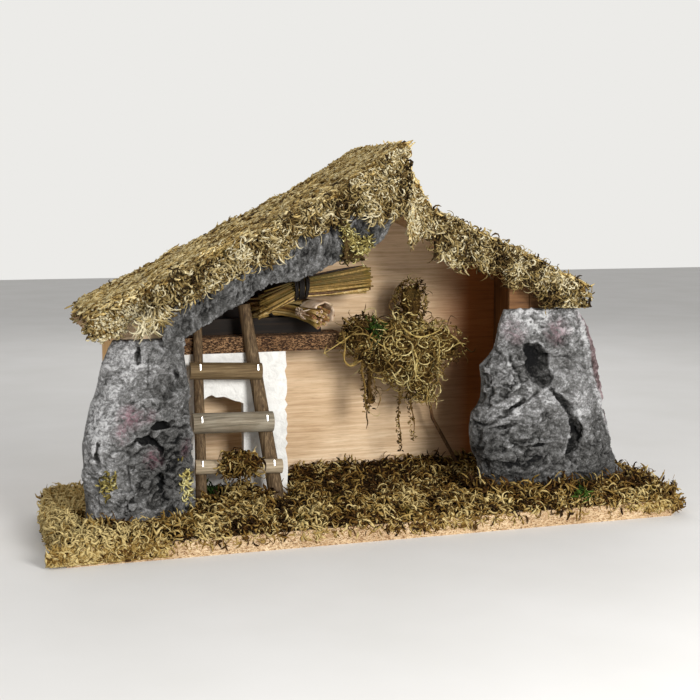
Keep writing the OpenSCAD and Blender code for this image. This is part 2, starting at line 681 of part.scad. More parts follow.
// Stalks of the given thickness from p0 through the tie at p1 to p2, spread at the ends
module sheaf(p0, p1, p2, thick, side, spread0, spread2, seed) {
    places = hexagon(sheaf_rings) * (thick + stalk_gap);
    for (k = [0:len(places) - 1]) {
        off = places[k][0] * side + [0, 0, places[k][1]];
        a = p0 + off * spread0 + unit(p0 - p1) * rag * grain(k, 1, seed);
        c = p2 + off * spread2 + unit(p2 - p1) * rag / 3 * grain(k, 2, seed);
        twig([a, p1 + off, c], [thick / 2, (thick - stalk_gap) / 2, thick / 2], stalk_sides);
    }
}
tie_wire = 1.6;
tie_turns = 4;
tie_lap_share = 0.8;
function sheaf_r(thick) = (sheaf_rings + 0.5) * (thick + stalk_gap);
function tie_r(thick) = sheaf_r(thick) + stalk_gap + tie_wire;
module tie(thick) {
    rotate([0, 90, 0]) rotate_extrude($fn = 40) for (k = [0:tie_turns - 1])
        translate([tie_r(thick) - tie_wire / 2, (k - (tie_turns - 1) / 2) * tie_wire * tie_lap_share])
            circle(d = tie_wire, $fn = 16);
}

// Short sheaf: its tie lies on the batten, its cut end reaches over the front edge of the loft
short_tie_in = 17;
short_tie = [-76, back_y - short_tie_in];
short_turn = 46;
short_drop_share = 0.13;
short_loose = [-23, 2, -3];
short_spread_share = 1.6;
short_z = loft_top + batten_h + tie_r(short_stalk) + soft;
module straw_sheaf_short() {
    p1 = [short_tie[0], short_tie[1], short_z];
    color("darkkhaki") sheaf(p1 + short_loose, p1,
        p1 + sheaf_short * [cos(short_turn), -sin(short_turn), -short_drop_share], short_stalk,
        [sin(short_turn), cos(short_turn), 0], 1.02, short_spread_share, 83);
}
module straw_tie_short() {
    color("dimgray") translate([short_tie[0], short_tie[1], short_z]) rotate([0, 0, -short_turn]) tie(short_stalk);
}

// Long sheaf: lies across the short one, its loose half droops to the left
long_tie = [-58, 24];
long_droop_shares = [-0.9, 0.1, -0.44];
long_lift_share = 0.1;
long_spread_shares = [1.25, 1.3];
long_cross = [-47, 24];
long_z = short_z - short_drop_share * norm(long_cross - short_tie) + long_lift_share * (long_tie[0] - long_cross[0])
    + mix(1, short_spread_share, norm(long_cross - short_tie) / sheaf_short) * sheaf_r(short_stalk) + sheaf_r(stalk);
module straw_sheaf_long() {
    p1 = [long_tie[0], long_tie[1], long_z];
    color("darkkhaki") sheaf(p1 + sheaf_loose * long_droop_shares, p1, p1 + sheaf_cut * [1, 0, long_lift_share],
        stalk, [0, 1, 0], long_spread_shares[0], long_spread_shares[1], 71);
}
module straw_tie_long() {
    color("dimgray") translate([long_tie[0], long_tie[1], long_z]) tie(stalk);
}

// Tree: a leaning twig with three side twigs, and the moss hung on it
tree_path_shares = [[0, 0], [0.02, 0.1], [-0.21, 0.36], [-0.255, 0.55], [-0.31, 0.72], [-0.38, 0.9]];
tree_in = 17;
tree_foot = [136, back_y - tree_in];
tree_depth_shares = [0, -0.01, -0.05, -0.08, -0.12, -0.13];
twig_side = 30;
module trunk_twigs(extra) {
    path = [for (i = [0:len(tree_path_shares) - 1]) let (s = tree_path_shares[i])
        [tree_foot[0] + s[0] * tree_h - (i == 1 ? 0.07 * tree_h : 0), tree_foot[1] + tree_depth_shares[i] * tree_h,
            base_top + s[1] * tree_h]];
    radii = [for (i = [0:len(path) - 1]) trunk / 2 * (1 - 0.12 * i) + extra];
    twig(path, radii, 8);
    twig([path[3], path[3] + twig_side * [0.6, -0.2, 0.5]], [radii[4], radii[5] * 0.6 + extra], 6);
    twig([path[3], path[3] + twig_side * [-1.2, -0.2, 0.5]], [radii[4], radii[5] * 0.6 + extra], 6);
    twig([path[4], path[4] + twig_side * [0.4, 0.1, 0.7]], [radii[4], radii[5] * 0.6 + extra], 6);
}
module tree_trunk() {
    color("saddlebrown") difference() {
        trunk_twigs(0);
        translate([tree_foot[0] - trunk, tree_foot[1] - trunk, base_top - trunk])
            cube([2 * trunk, 2 * trunk, trunk]);
    }
}
// Clumps: place as shares of the tree height from its foot, size in millimetres, seed
foliage_shares = [[-0.43, -0.17, 0.76], [-0.22, -0.16, 0.77], [-0.64, -0.19, 0.83],
    [-0.37, -0.14, 1.0], [-0.32, -0.17, 0.6], [-0.62, -0.19, 0.58]];
foliage_size = [[86, 42, 62], [62, 36, 50], [46, 32, 46], [36, 26, 48], [36, 26, 46], [16, 14, 52]];
module tree_foliage() {
    color("olive") difference() {
        union() {
            for (i = [0:len(foliage_size) - 1]) {
                translate([tree_foot[0], tree_foot[1], base_top] + foliage_shares[i] * tree_h)
                    clump(foliage_size[i], 101 + i);
            }
        }
        trunk_twigs(soft);
    }
}

// Roof moss: a lumpy sheet that lies on a board and hangs over its front edge.
// xs are its columns; tops is the board surface, fronts the place in Y where it hangs, drops how far
// it hangs and thicks its thickness, each by column.
moss_cell = 15;
hang_rows = 3;
moss_back = 2.5;
hang_rag_share = 0.35;
hang_bulge_shares = [[0, 0.35], [1, 0.85]];
module roof_sheet(xs, tops, fronts, drops, thicks, seed) {
    ny = ceil((roof_front + roof_back) / moss_cell);
    rows = hang_rows + ny + 1;
    function hang(i) = drops[i] * (1 + hang_rag_share * grain(i, 1, seed));
    function depth(i, j) = mix(fronts[i], roof_back, clip01((j - hang_rows) / ny));
    function height(x, y, i) = thicks[i] + tuft * noise(x / tuft_pitch, y / tuft_pitch, seed);
    outer = [for (j = [0:rows]) [for (i = [0:len(xs) - 1]) let (x = xs[i], zt = tops[i], yf = fronts[i], y = depth(i, j))
        j < hang_rows ? [x, yf - roof_moss * lookup(j / hang_rows, hang_bulge_shares),
                mix(zt - hang(i), zt + soft, j / hang_rows)]
            : j == hang_rows ? [x, yf - roof_moss * 0.4, zt + 0.6 * height(x, y, i)]
            : j == rows ? [x, roof_back + moss_back, zt + soft + over]
            : [x, y, zt + height(x, y, i)]]];
    inner = [for (j = [0:rows]) [for (i = [0:len(xs) - 1]) let (x = xs[i], zt = tops[i], yf = fronts[i])
        j < hang_rows ? [x, yf, mix(zt - hang(i) + over, zt, j / hang_rows)]
            : j == rows ? [x, roof_back + over, zt + soft] : [x, depth(i, j), zt + soft]]];
    sheet_solid(outer, inner);
}
function columns(x0, x1) = let (n = ceil((x1 - x0) / moss_cell)) [for (i = [0:n]) mix(x0, x1, i / n)];
eave_x = -box_left - left_eave;
arch_front = -front_y - arch_t - arch_belly - lump - soft;
module roof_moss_left() {
    xs = columns(eave_x, ridge_x - soft);
    color("darkkhaki") roof_sheet(xs, [for (x = xs) under_left(x) + roof_rise_left],
        [for (x = xs) x < -arch_left - moss_cell ? -roof_front - soft : arch_front],
        [for (x = xs) x > peak_x ? 2 * moss_drop_left : moss_drop_left], [for (x = xs) roof_moss], 131);
}
ridge_end = ridge_x + 3 * roof_moss;
module roof_moss_right() {
    end_x = box_right + right_eave;
    xs = columns(ridge_end + soft, end_x);
    color("darkkhaki") roof_sheet(xs, [for (x = xs) under_right(x) + roof_rise_right],
        [for (x = xs) -roof_front - soft],
        [for (x = xs) moss_drop_right * (x > end_x - 2 * moss_cell ? 0.4 : 1)], [for (x = xs) roof_moss], 149);
}

// Ridge moss: fills the step between the end of the left roof and the right roof
ridge_top_shares = [[0, 1.05], [0.35, 0.92], [0.62, 0.66], [0.85, 0.36], [1, 0.24]];
module ridge_moss() {
    xs = columns(ridge_x + soft, ridge_end);
    step = under_left(ridge_x) + roof_rise_left + roof_moss - under_right(ridge_x);
    color("darkkhaki") roof_sheet(xs, [for (x = xs) under_right(x) + roof_rise_right],
        [for (x = xs) x < arch_right + over ? arch_front : -roof_front - soft],
        [for (x = xs) moss_drop_right], [for (x = xs) step * lookup((x - ridge_x) / (ridge_end - ridge_x), ridge_top_shares)], 157);
}

// Tuft on the face of the arch
arch_moss_at = [-27, 272];
arch_moss_size = [24, 26];
module arch_moss() {
    n = 6;
    function at(i, j, lift) = let (x = arch_moss_at[0] + arch_moss_size[0] * (i / n - 0.5),
            z = arch_moss_at[1] + arch_moss_size[1] * (j / n - 0.5))
        [x, arch_face(x, z) - lift, z];
    color("darkkhaki") sheet_solid(
        [for (j = [0:n]) [for (i = [0:n]) at(i, j, soft + over + 2 * tuft * sin(180 * i / n) * sin(180 * j / n)
            * (1 + 0.4 * grain(i, j, 3)))]],
        [for (j = [0:n]) [for (i = [0:n]) at(i, j, soft)]]);
}

// Ground moss: lumpy mats on the base, each between two edges by place in Y
mat_cell = 14;
mat_edge = 3;
function mat_z(x, y, rise, seed) = ground_moss * rise
    + tuft * noise(x / tuft_pitch, y / tuft_pitch, seed) * 0.9;
// lefts and rights are the edges of the mat by y, rises its thickness shares by y
module mat(y0, y1, lefts, rights, rises, seed) {
    nx = ceil((lookup(y0, rights) - lookup(y0, lefts)) / mat_cell);
    ny = max(2, ceil((y1 - y0) / mat_cell));
    place = [for (j = [0:ny]) [for (i = [0:nx]) let (y = mix(y0, y1, j / ny))
        [mix(lookup(y, lefts), lookup(y, rights), i / nx), y]]];
    outer = [for (j = [0:ny]) [for (i = [0:nx]) let (p = place[j][i],
            rim = (i == 0 || i == nx || j == 0 || j == ny))
        [p[0], p[1], base_top + (rim ? 0.55 : 1) * max(mat_edge, mat_z(p[0], p[1], lookup(p[1], rises), seed))]]];
    inner = [for (j = [0:ny]) [for (i = [0:nx]) [place[j][i][0], place[j][i][1], base_top]]];
    sheet_solid(outer, inner);
}
base_front = -base_d / 2;
rock_front = -front_y - rock_left_depth - lump - 2 * soft;
front_gap = 2;
module ground_moss_front() {
    y0 = base_front + front_gap;
    y1 = rock_front - over;
    color("olive") mat(y0, y1, [[y0, base_left(y0) + front_gap], [y1, base_left(y1) + front_gap]],
        [[y0, base_w / 2 - base_clip - front_gap], [y0 + base_clip, base_w / 2 - front_gap]],
        [[y0, 0.5], [y1, 1.25]], 161);
}
rock_right_x = right_panel_x - right_panel_w - rock_right_in;
module ground_moss_middle() {
    y1 = -ladder_foot - rail_right_w;
    color("olive") mat(rock_front, y1, [[0, rock_left_w * rock_left_over_share - box_left + 2 * lump]],
        [[0, rock_right_x - 2 * lump]], [[rock_front, 1.2], [y1, 1]], 173);
}
module ground_moss_inside() {
    y0 = -ladder_foot - rail_right_w + soft;
    y1 = back_y - soft;
    color("olive") difference() {
        mat(y0, y1, [[0, wall_in + plaster_w + 2 * soft]],
            [[0, rock_right_x - 2 * lump], [10, rock_right_x - 2 * lump], [22, box_right - wall_t - soft]],
            [[y0, 1], [y1 - 2 * mat_cell, 1], [y1, 1 + heap / ground_moss * 1.6]], 181);
        trunk_twigs(soft);
    }
}
module ground_moss_left() {
    y0 = rock_front;
    y1 = base_d / 2 - front_gap;
    rear = -front_y + 0.6 * rock_left_flare + 2 * soft;
    color("olive") mat(y0, y1, [for (j = [0:4]) let (y = mix(y0, y1, j / 4)) [y, base_left(y) + front_gap]],
        [[y0, -box_left - rock_left_flare - 2 * lump], [rear, -box_left - rock_left_flare - 2 * lump],
            [rear + mat_cell, -box_left - 2 * soft]], [[y0, 0.8], [y1, 0.8]], 193);
}
module ground_moss_right() {
    y0 = rock_front;
    y1 = base_d / 2 - front_gap;
    rear = -front_y + 0.36 * rock_right_out + 2 * soft;
    edge = right_panel_x + rock_right_out + 2 * lump;
    color("olive") mat(y0, y1, [[y0, edge], [rear, edge], [rear + mat_cell, box_right + 2 * soft]],
        [[0, base_w / 2 - front_gap]], [[y0, 0.8], [y1, 0.8]], 211);
}
module ladder_foot_moss() {
    y0 = -ladder_foot - rail_right_w + soft;
    y1 = loft_y + plaster_set - soft;
    color("olive") mat(y0, y1, [[0, rail_left_w - rail_left_x]],
        [[0, -rail_right_x - rail_right_w]], [[y0, 1], [y1, 1.3]], 223);
}

// Clump of moss caught on the bottom rung
rung_moss_size = [42, 20, 20];
rung_moss_share = 0.5;
rung_moss_up = 4;
module rung_moss() {
    x = -mix(rung_left_x[0], rung_right_x[0], rung_moss_share);
    color("olive") difference() {
        on_ladder() translate([x, -rung_w[0] / 2, rung_at[0] + rung_moss_up]) clump(rung_moss_size, 97);
        rung_shape(0, soft);
    }
}

base_board();
back_wall();
left_wall();
right_wall();
front_gable_left();
front_panel_right();
roof_board_left();
roof_board_right();
loft_floor();
loft_batten();
plaster_wall();
ladder_rail_left();
ladder_rail_right();
ladder_rung_bottom();
ladder_rung_middle();
ladder_rung_top();
ladder_staples();
rock_arch();
rock_pillar_left();
rock_pillar_right();
straw_sheaf_long();
straw_tie_long();
straw_sheaf_short();
straw_tie_short();
tree_trunk();
tree_foliage();
roof_moss_left();
roof_moss_right();
ridge_moss();
arch_moss();
ground_moss_front();
ground_moss_middle();
ground_moss_inside();
ground_moss_left();
ground_moss_right();
ladder_foot_moss();
rung_moss();
back_staples();
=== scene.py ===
# Looks of the wooden nativity stable: chipboard base, plywood and pine walls, twig ladder, rock,
# straw sheaves and dry moss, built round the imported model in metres.
import math

import bpy
import numpy as np
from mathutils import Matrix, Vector, noise


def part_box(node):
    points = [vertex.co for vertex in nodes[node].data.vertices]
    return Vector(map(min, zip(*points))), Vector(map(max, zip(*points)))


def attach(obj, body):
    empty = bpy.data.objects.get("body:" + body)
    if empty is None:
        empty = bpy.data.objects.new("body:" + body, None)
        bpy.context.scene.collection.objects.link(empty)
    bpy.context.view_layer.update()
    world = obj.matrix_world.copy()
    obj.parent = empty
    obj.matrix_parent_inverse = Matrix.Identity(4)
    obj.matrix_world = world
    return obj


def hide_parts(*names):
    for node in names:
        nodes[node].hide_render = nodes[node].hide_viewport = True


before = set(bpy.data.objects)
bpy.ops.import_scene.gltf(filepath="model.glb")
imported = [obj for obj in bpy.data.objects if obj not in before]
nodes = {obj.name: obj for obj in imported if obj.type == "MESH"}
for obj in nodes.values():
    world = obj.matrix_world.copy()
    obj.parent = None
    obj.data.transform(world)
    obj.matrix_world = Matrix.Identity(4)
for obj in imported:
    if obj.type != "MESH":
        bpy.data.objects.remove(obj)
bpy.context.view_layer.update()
bpy.ops.object.select_all(action="DESELECT")
noise.seed_set(3)  # noise vectors would otherwise change with the time of day


# Camera, lamps and table. The camera stands ahead of the left half at roof height and looks a
# little down; a large soft lamp stands ahead on the right, a weaker one on the left.
scene = bpy.context.scene
bpy.ops.object.camera_add(location=(-0.3902, -1.1864, 0.3177),
                          rotation=(math.radians(83.16), 0, math.radians(-17.67)))
camera = bpy.context.object
camera.name = "camera"
camera.data.sensor_width = 36
camera.data.lens = 64.29
camera.data.clip_start = 0.01
scene.camera = camera
scene.view_settings.view_transform = "Standard"


def lamp(name, place, target, size, watts):
    """Soft square lamp that faces the target"""
    bpy.ops.object.light_add(type="AREA", location=place)
    made = bpy.context.object
    made.name = name
    made.data.shape = "SQUARE"
    made.data.size = size
    made.data.energy = watts
    made.rotation_euler = (Vector(target) - Vector(place)).to_track_quat("-Z", "Y").to_euler()
    return made


lamp("lamp_right", (0.36, -1.54, 0.58), (0.0, 0.0, 0.15), 0.5, 27)
lamp("lamp_left", (-1.2, -1.0, 0.9), (0.0, 0.0, 0.14), 0.8, 4)
lamp("lamp_back", (0.3, 1.3, 1.2), (0.0, 0.0, 0.2), 0.9, 6)


def add(tree, kind, inputs=None, **settings):
    """New node; inputs are values or the output sockets that feed them"""
    made = tree.nodes.new(kind)
    for key, value in settings.items():
        setattr(made, key, value)
    for key, value in (inputs or {}).items():
        if isinstance(value, bpy.types.NodeSocket):
            tree.links.new(value, made.inputs[key])
        else:
            made.inputs[key].default_value = value
    return made


def paint(red, green, blue):
    """Colour as a screen shows it, made linear"""
    return tuple(((c / 255 + 0.055) / 1.055) ** 2.4 if c > 10 else c / 255 / 12.92
                 for c in (red, green, blue)) + (1.0,)


def ramp(tree, value, stops):
    """Colours by value: stops are (place, colour)"""
    made = add(tree, "ShaderNodeValToRGB", {"Fac": value})
    points = made.color_ramp.elements
    while len(points) < len(stops):
        points.new(0.5)
    for point, (place, colour) in zip(points, stops):
        point.position = place
        point.color = colour
    return made.outputs["Color"]


def math_node(tree, operation, a, b=0.0, clamp=False):
    return add(tree, "ShaderNodeMath", {0: a, 1: b}, operation=operation, use_clamp=clamp).outputs[0]


def swing(tree, value, strength):
    """A value about one half, as a push up or down"""
    return math_node(tree, "MULTIPLY", math_node(tree, "SUBTRACT", value, 0.5), strength)


def above(tree, value, low, gain, clamp=True):
    """What a value has over a low one, times a gain"""
    return math_node(tree, "MULTIPLY", math_node(tree, "SUBTRACT", value, low, True), gain, clamp)


def blend_node(tree, mode, share, a, b):
    made = add(tree, "ShaderNodeMix", {0: share}, data_type="RGBA", blend_type=mode)
    for key, value in ((6, a), (7, b)):
        if isinstance(value, bpy.types.NodeSocket):
            tree.links.new(value, made.inputs[key])
        else:
            made.inputs[key].default_value = value
    return made.outputs[2]


def noise_node(tree, vector, scale, detail=4.0, roughness=0.55, distortion=0.0):
    return add(tree, "ShaderNodeTexNoise", {"Vector": vector, "Scale": scale, "Detail": detail,
               "Roughness": roughness, "Distortion": distortion}).outputs["Fac"]


def material(name, shine=0.25):
    """Empty material: gives it, its node tree, its shader and the object coordinates"""
    made = bpy.data.materials.new(name)
    made.use_nodes = True
    tree = made.node_tree
    place = add(tree, "ShaderNodeTexCoord").outputs["Object"]
    tree.nodes["Principled BSDF"].inputs["Specular IOR Level"].default_value = shine
    return made, tree, tree.nodes["Principled BSDF"], place


def finish_material(tree, shader, colour, roughness, height, strength, distance):
    """Connects colour and roughness, and a bump from a height"""
    tree.links.new(colour, shader.inputs["Base Color"])
    if isinstance(roughness, bpy.types.NodeSocket):
        tree.links.new(roughness, shader.inputs["Roughness"])
    else:
        shader.inputs["Roughness"].default_value = roughness
    bump = add(tree, "ShaderNodeBump", {"Height": height, "Strength": strength, "Distance": distance})
    tree.links.new(bump.outputs["Normal"], shader.inputs["Normal"])


def dress(name, finish):
    """A CAD node keeps its shape and gets a finish"""
    node = nodes[name]
    node.data.materials.clear()
    node.data.materials.append(finish)


table, tree, shader, place = material("table")
mottle = noise_node(tree, place, 6.0, 3.0)
finish_material(tree, shader, ramp(tree, mottle, [(0.3, paint(226, 224, 220)), (0.7, paint(232, 230, 227))]),
                0.85, mottle, 0.02, 0.001)
bpy.ops.mesh.primitive_plane_add(size=8.0, location=(0, 0, 0))
floor = bpy.context.object
floor.name = "table"
floor.data.materials.append(table)
world = bpy.data.worlds.new("room")
scene.world = world
world.use_nodes = True
sky = world.node_tree
light = sky.nodes["Background"]
light.inputs["Color"].default_value = (1, 1, 1, 1)
light.inputs["Strength"].default_value = 0.46
shown = add(sky, "ShaderNodeBackground", {"Color": paint(236, 235, 232), "Strength": 1.0})
path = add(sky, "ShaderNodeLightPath")
seen = math_node(sky, "MAXIMUM", path.outputs["Is Camera Ray"], path.outputs["Is Glossy Ray"])
both = add(sky, "ShaderNodeMixShader", {0: seen, 1: light.outputs[0], 2: shown.outputs[0]})
sky.links.new(both.outputs[0], sky.nodes["World Output"].inputs["Surface"])
bpy.ops.object.select_all(action="DESELECT")


# Base board. Raw chipboard, 16 mm thick: its sawn edge shows pale flakes and dark glue pockets.
def chips(name, tones):
    """Chipboard in shades from its darkest flakes to its palest"""
    made, tree, shader, place = material(name)
    longer = add(tree, "ShaderNodeMapping", {"Vector": place, "Scale": (0.5, 0.5, 1.0)}).outputs[0]
    flake = add(tree, "ShaderNodeTexVoronoi", {"Vector": longer, "Scale": 1050.0, "Randomness": 1.0})
    dust = add(tree, "ShaderNodeTexVoronoi", {"Vector": place, "Scale": 1900.0})
    shade = add(tree, "ShaderNodeSeparateColor", {"Color": flake.outputs["Color"]}).outputs["Red"]
    fine = add(tree, "ShaderNodeSeparateColor", {"Color": dust.outputs["Color"]}).outputs["Green"]
    mixed = math_node(tree, "ADD", math_node(tree, "MULTIPLY", shade, 0.6), math_node(tree, "MULTIPLY", fine, 0.4))
    colour = ramp(tree, mixed, [(at, paint(*tone)) for at, tone in zip((0.08, 0.28, 0.5, 0.9), tones)])
    mottle_and_painted_shadow = ramp(tree, noise_node(tree, place, 22.0, 3.0), [(0.35, paint(214, 202, 190)), (0.65, paint(255, 253, 250))])
    colour = blend_node(tree, "MULTIPLY", 0.8, colour, mottle_and_painted_shadow)
    finish_material(tree, shader, colour, 0.86, mixed, 0.7, 0.0009)
    return made


chipboard = chips("chipboard", [(84, 56, 32), (172, 138, 100), (206, 178, 140), (228, 206, 172)])
dress("base_board", chipboard)
# Painted shade: the loft floor gets a far darker copy of the base's chipboard, for the arch's shadow over the loft
chipboard_painted_shade = chips("chipboard_painted_shade", [(12, 5, 1), (42, 25, 12), (84, 58, 35), (172, 136, 98)])
dress("loft_floor", chipboard_painted_shade)


# Walls. Birch plywood at the back with its grain lying, a pine board on the left with upright
# grain, browner boards on the right; all glued to the base and stapled through the back.
def grain_group():
    """Wood grain along X: slow streaks and fine pores"""
    made = bpy.data.node_groups.new("wood_grain", "ShaderNodeTree")
    face = made.interface
    face.new_socket("Vector", in_out="INPUT", socket_type="NodeSocketVector")
    face.new_socket("Fineness", in_out="INPUT", socket_type="NodeSocketFloat")
    face.new_socket("Stretch", in_out="INPUT", socket_type="NodeSocketFloat")
    face.new_socket("Streaks", in_out="OUTPUT", socket_type="NodeSocketFloat")
    face.new_socket("Pores", in_out="OUTPUT", socket_type="NodeSocketFloat")
    start = made.nodes.new("NodeGroupInput")
    end = made.nodes.new("NodeGroupOutput")
    slow = math_node(made, "DIVIDE", start.outputs["Fineness"], start.outputs["Stretch"])
    scale = add(made, "ShaderNodeCombineXYZ", {"X": slow, "Y": start.outputs["Fineness"],
                                               "Z": start.outputs["Fineness"]}).outputs[0]
    drawn = add(made, "ShaderNodeVectorMath", {0: start.outputs["Vector"], 1: scale}, operation="MULTIPLY").outputs[0]
    made.links.new(noise_node(made, drawn, 1.0, 5.0, 0.6, 0.3), end.inputs["Streaks"])
    made.links.new(noise_node(made, drawn, 4.2, 3.0, 0.7), end.inputs["Pores"])
    return made


wood_grain = grain_group()


def within(tree, value, low, high, soft):
    """1 between two values, falling to 0 outside them over a soft length"""
    rise = math_node(tree, "DIVIDE", math_node(tree, "SUBTRACT", value, low), soft, True)
    fall = math_node(tree, "DIVIDE", math_node(tree, "SUBTRACT", high, value), soft, True)
    return math_node(tree, "MULTIPLY", rise, fall)


wall_face = 0.0755  # just behind the back wall's front


def wood(name, turn, fineness, stretch, tones, roughness, patch=12.0, patch_tone=(228, 220, 210), mottle_and_painted_shadow=None,
         shaded=None):
    """Sawn or peeled wood: tones from dark to pale, grain turned by the given angles; on the back wall's
    front, mottle_and_painted_shadow is a dark patch of painted shadow as (x, x, z, z) and shaded is where
    painted shade turns it browner, as (x, over what length)"""
    made, tree, shader, place = material(name)
    turned = add(tree, "ShaderNodeMapping", {"Vector": place, "Rotation": [math.radians(a) for a in turn]}).outputs[0]
    lines = add(tree, "ShaderNodeGroup", node_tree=wood_grain)
    tree.links.new(turned, lines.inputs["Vector"])
    lines.inputs["Fineness"].default_value = fineness
    lines.inputs["Stretch"].default_value = stretch
    stops = [(0.28 + 0.44 * i / (len(tones) - 1), paint(*t)) for i, t in enumerate(tones)]
    colour = ramp(tree, lines.outputs["Streaks"], stops)
    pores = ramp(tree, lines.outputs["Pores"], [(0.3, paint(196, 184, 168)), (0.5, paint(255, 255, 255))])
    colour = blend_node(tree, "MULTIPLY", 0.55, colour, pores)
    cloud = ramp(tree, noise_node(tree, place, patch, 3.0), [(0.35, paint(*patch_tone)), (0.65, paint(255, 255, 255))])
    colour = blend_node(tree, "MULTIPLY", 0.8, colour, cloud)
    if shaded:
        spot = add(tree, "ShaderNodeSeparateXYZ", {"Vector": place})
        front = math_node(tree, "LESS_THAN", spot.outputs["Y"], wall_face)
        mask = math_node(tree, "MULTIPLY", within(tree, spot.outputs["X"], shaded[0], 1.0, shaded[1]), front)
        # Painted shade: the right part of the back wall's front turns browner, for the shadow of the right panel and
        # rock
        colour = blend_node(tree, "MULTIPLY", mask, colour, paint(172, 118, 70))
        # Painted shadow: a dark patch on the back wall's front behind the loft, for the shadow of the arch and roof
        mask = math_node(tree, "MULTIPLY", within(tree, spot.outputs["X"], mottle_and_painted_shadow[0], mottle_and_painted_shadow[1], 0.012),
                         within(tree, spot.outputs["Z"], mottle_and_painted_shadow[2], mottle_and_painted_shadow[3], 0.008))
        colour = blend_node(tree, "MIX", math_node(tree, "MULTIPLY", mask, front), colour, paint(26, 15, 8))
    height = math_node(tree, "ADD", lines.outputs["Streaks"], math_node(tree, "MULTIPLY", lines.outputs["Pores"], 0.4))
    finish_material(tree, shader, colour, roughness, height, 0.35, 0.0006)
    return made


# Painted light: the front gable's plywood is made paler than the back wall's, to make up for the shade under the eave
plywood_painted_light = wood("plywood_painted_light", (0, 0, 0), 330, 26, [(212, 180, 140), (236, 208, 170), (248, 226, 192)], 0.72)
# The back wall's plywood carries painted shadow behind the loft and painted shade on its right part
plywood = wood("plywood", (0, 0, 0), 330, 26, [(196, 164, 128), (220, 191, 155), (236, 212, 179)], 0.72,
               mottle_and_painted_shadow=(-0.26, -0.045, 0.18, 0.246), shaded=(0.098, 0.05))
# Painted light: the pine's tones are raised to make up for the shade under the eave
pine = wood("pine", (0, 90, 0), 260, 30, [(190, 140, 78), (226, 182, 118), (240, 206, 148)], 0.68)
brown_board = wood("brown_board", (0, 0, 0), 300, 20, [(84, 54, 28), (118, 82, 48), (150, 110, 70)], 0.7)
warm_board = wood("warm_board", (0, 90, 0), 280, 24, [(80, 46, 20), (110, 70, 35), (138, 94, 52)], 0.7)
dress("back_wall", plywood)
dress("left_wall", pine)
dress("right_wall", warm_board)
dress("front_gable_left", plywood_painted_light)
dress("front_panel_right", brown_board)


# Roof boards. Thin plywood with the grain down the slope; moss covers all but the undersides.
roof_ply = wood("roof_plywood", (0, 0, 0), 300, 20, [(150, 116, 80), (180, 146, 106), (200, 170, 132)], 0.75)
dress("roof_board_left", roof_ply)
dress("roof_board_right", roof_ply)


# Loft batten. A dark stained strip of wood that stands on the back of the loft; its colour is deepened to near black as
# painted shade from the roof and arch.
dark_wood = wood("dark_wood", (0, 0, 0), 260, 18, [(13, 8, 4), (25, 17, 9), (42, 30, 18)], 0.75)
dress("loft_batten", dark_wood)


# Plaster wall. Hardboard brushed with thick white plaster; its free edge and the hatch are ragged.
plaster, tree, shader, place = material("plaster")
swirl = noise_node(tree, place, 90.0, 5.0, 0.6, 0.6)
pits = add(tree, "ShaderNodeTexVoronoi", {"Vector": place, "Scale": 420.0}).outputs["Distance"]
colour = ramp(tree, swirl, [(0.25, paint(204, 202, 196)), (0.5, paint(229, 227, 221)), (0.8, paint(241, 240, 235))])
height = math_node(tree, "ADD", swirl, math_node(tree, "MULTIPLY", pits, 0.25))
finish_material(tree, shader, colour, 0.8, height, 0.8, 0.0012)
dress("plaster_wall", plaster)


# Ladder. Split grey twigs, flat side to the back, three rungs stapled across two leaning rails.
rail_bark = wood("rail_bark", (0, 90, 0), 620, 26, [(44, 32, 19), (92, 74, 52), (138, 117, 88)], 0.8, 30.0)
rung_grey = wood("rung_grey", (0, 0, 0), 560, 24, [(92, 85, 72), (136, 127, 110), (168, 159, 140)], 0.8, 34.0)
rung_tan = wood("rung_tan", (0, 0, 0), 560, 24, [(76, 60, 39), (108, 90, 63), (142, 122, 90)], 0.8, 34.0)
rung_pale = wood("rung_pale", (0, 0, 0), 560, 24, [(120, 106, 84), (168, 152, 126), (198, 182, 156)], 0.8, 34.0)
dress("ladder_rail_left", rail_bark)
dress("ladder_rail_right", rail_bark)
dress("ladder_rung_bottom", rung_pale)
dress("ladder_rung_middle", rung_grey)
dress("ladder_rung_top", rung_tan)

wire, tree, shader, place = material("staple_wire")
scuff = noise_node(tree, place, 500.0, 3.0)
shader.inputs["Metallic"].default_value = 1.0
finish_material(tree, shader, ramp(tree, scuff, [(0.3, paint(176, 174, 168)), (0.7, paint(226, 224, 218))]),
                ramp(tree, scuff, [(0.3, (0.25, 0.25, 0.25, 1)), (0.7, (0.42, 0.42, 0.42, 1))]), scuff, 0.1, 0.0001)
dress("ladder_staples", wire)
dress("back_staples", wire)


# Rocks. Moulded fibre rock painted dark grey, dry-brushed pale on its ridges, with a pink
# bloom in places; two stand before the front panels, one hangs under the roof edge.
def copy_node(node, name):
    """New piece from a CAD node's solid, with its points merged"""
    made = bpy.data.objects.new(name, nodes[node].data.copy())
    scene.collection.objects.link(made)
    made.data.materials.clear()
    bpy.context.view_layer.objects.active = made
    made.select_set(True)
    bpy.ops.object.mode_set(mode="EDIT")
    bpy.ops.mesh.select_all(action="SELECT")
    bpy.ops.mesh.remove_doubles(threshold=0.00001)
    bpy.ops.object.mode_set(mode="OBJECT")
    made.select_set(False)
    return made


def remesh(piece, voxel):
    """Even faces of the given size all over the piece"""
    bpy.context.view_layer.objects.active = piece
    made = piece.modifiers.new("even", "REMESH")
    made.mode = "VOXEL"
    made.voxel_size = voxel
    bpy.ops.object.modifier_apply(modifier="even")


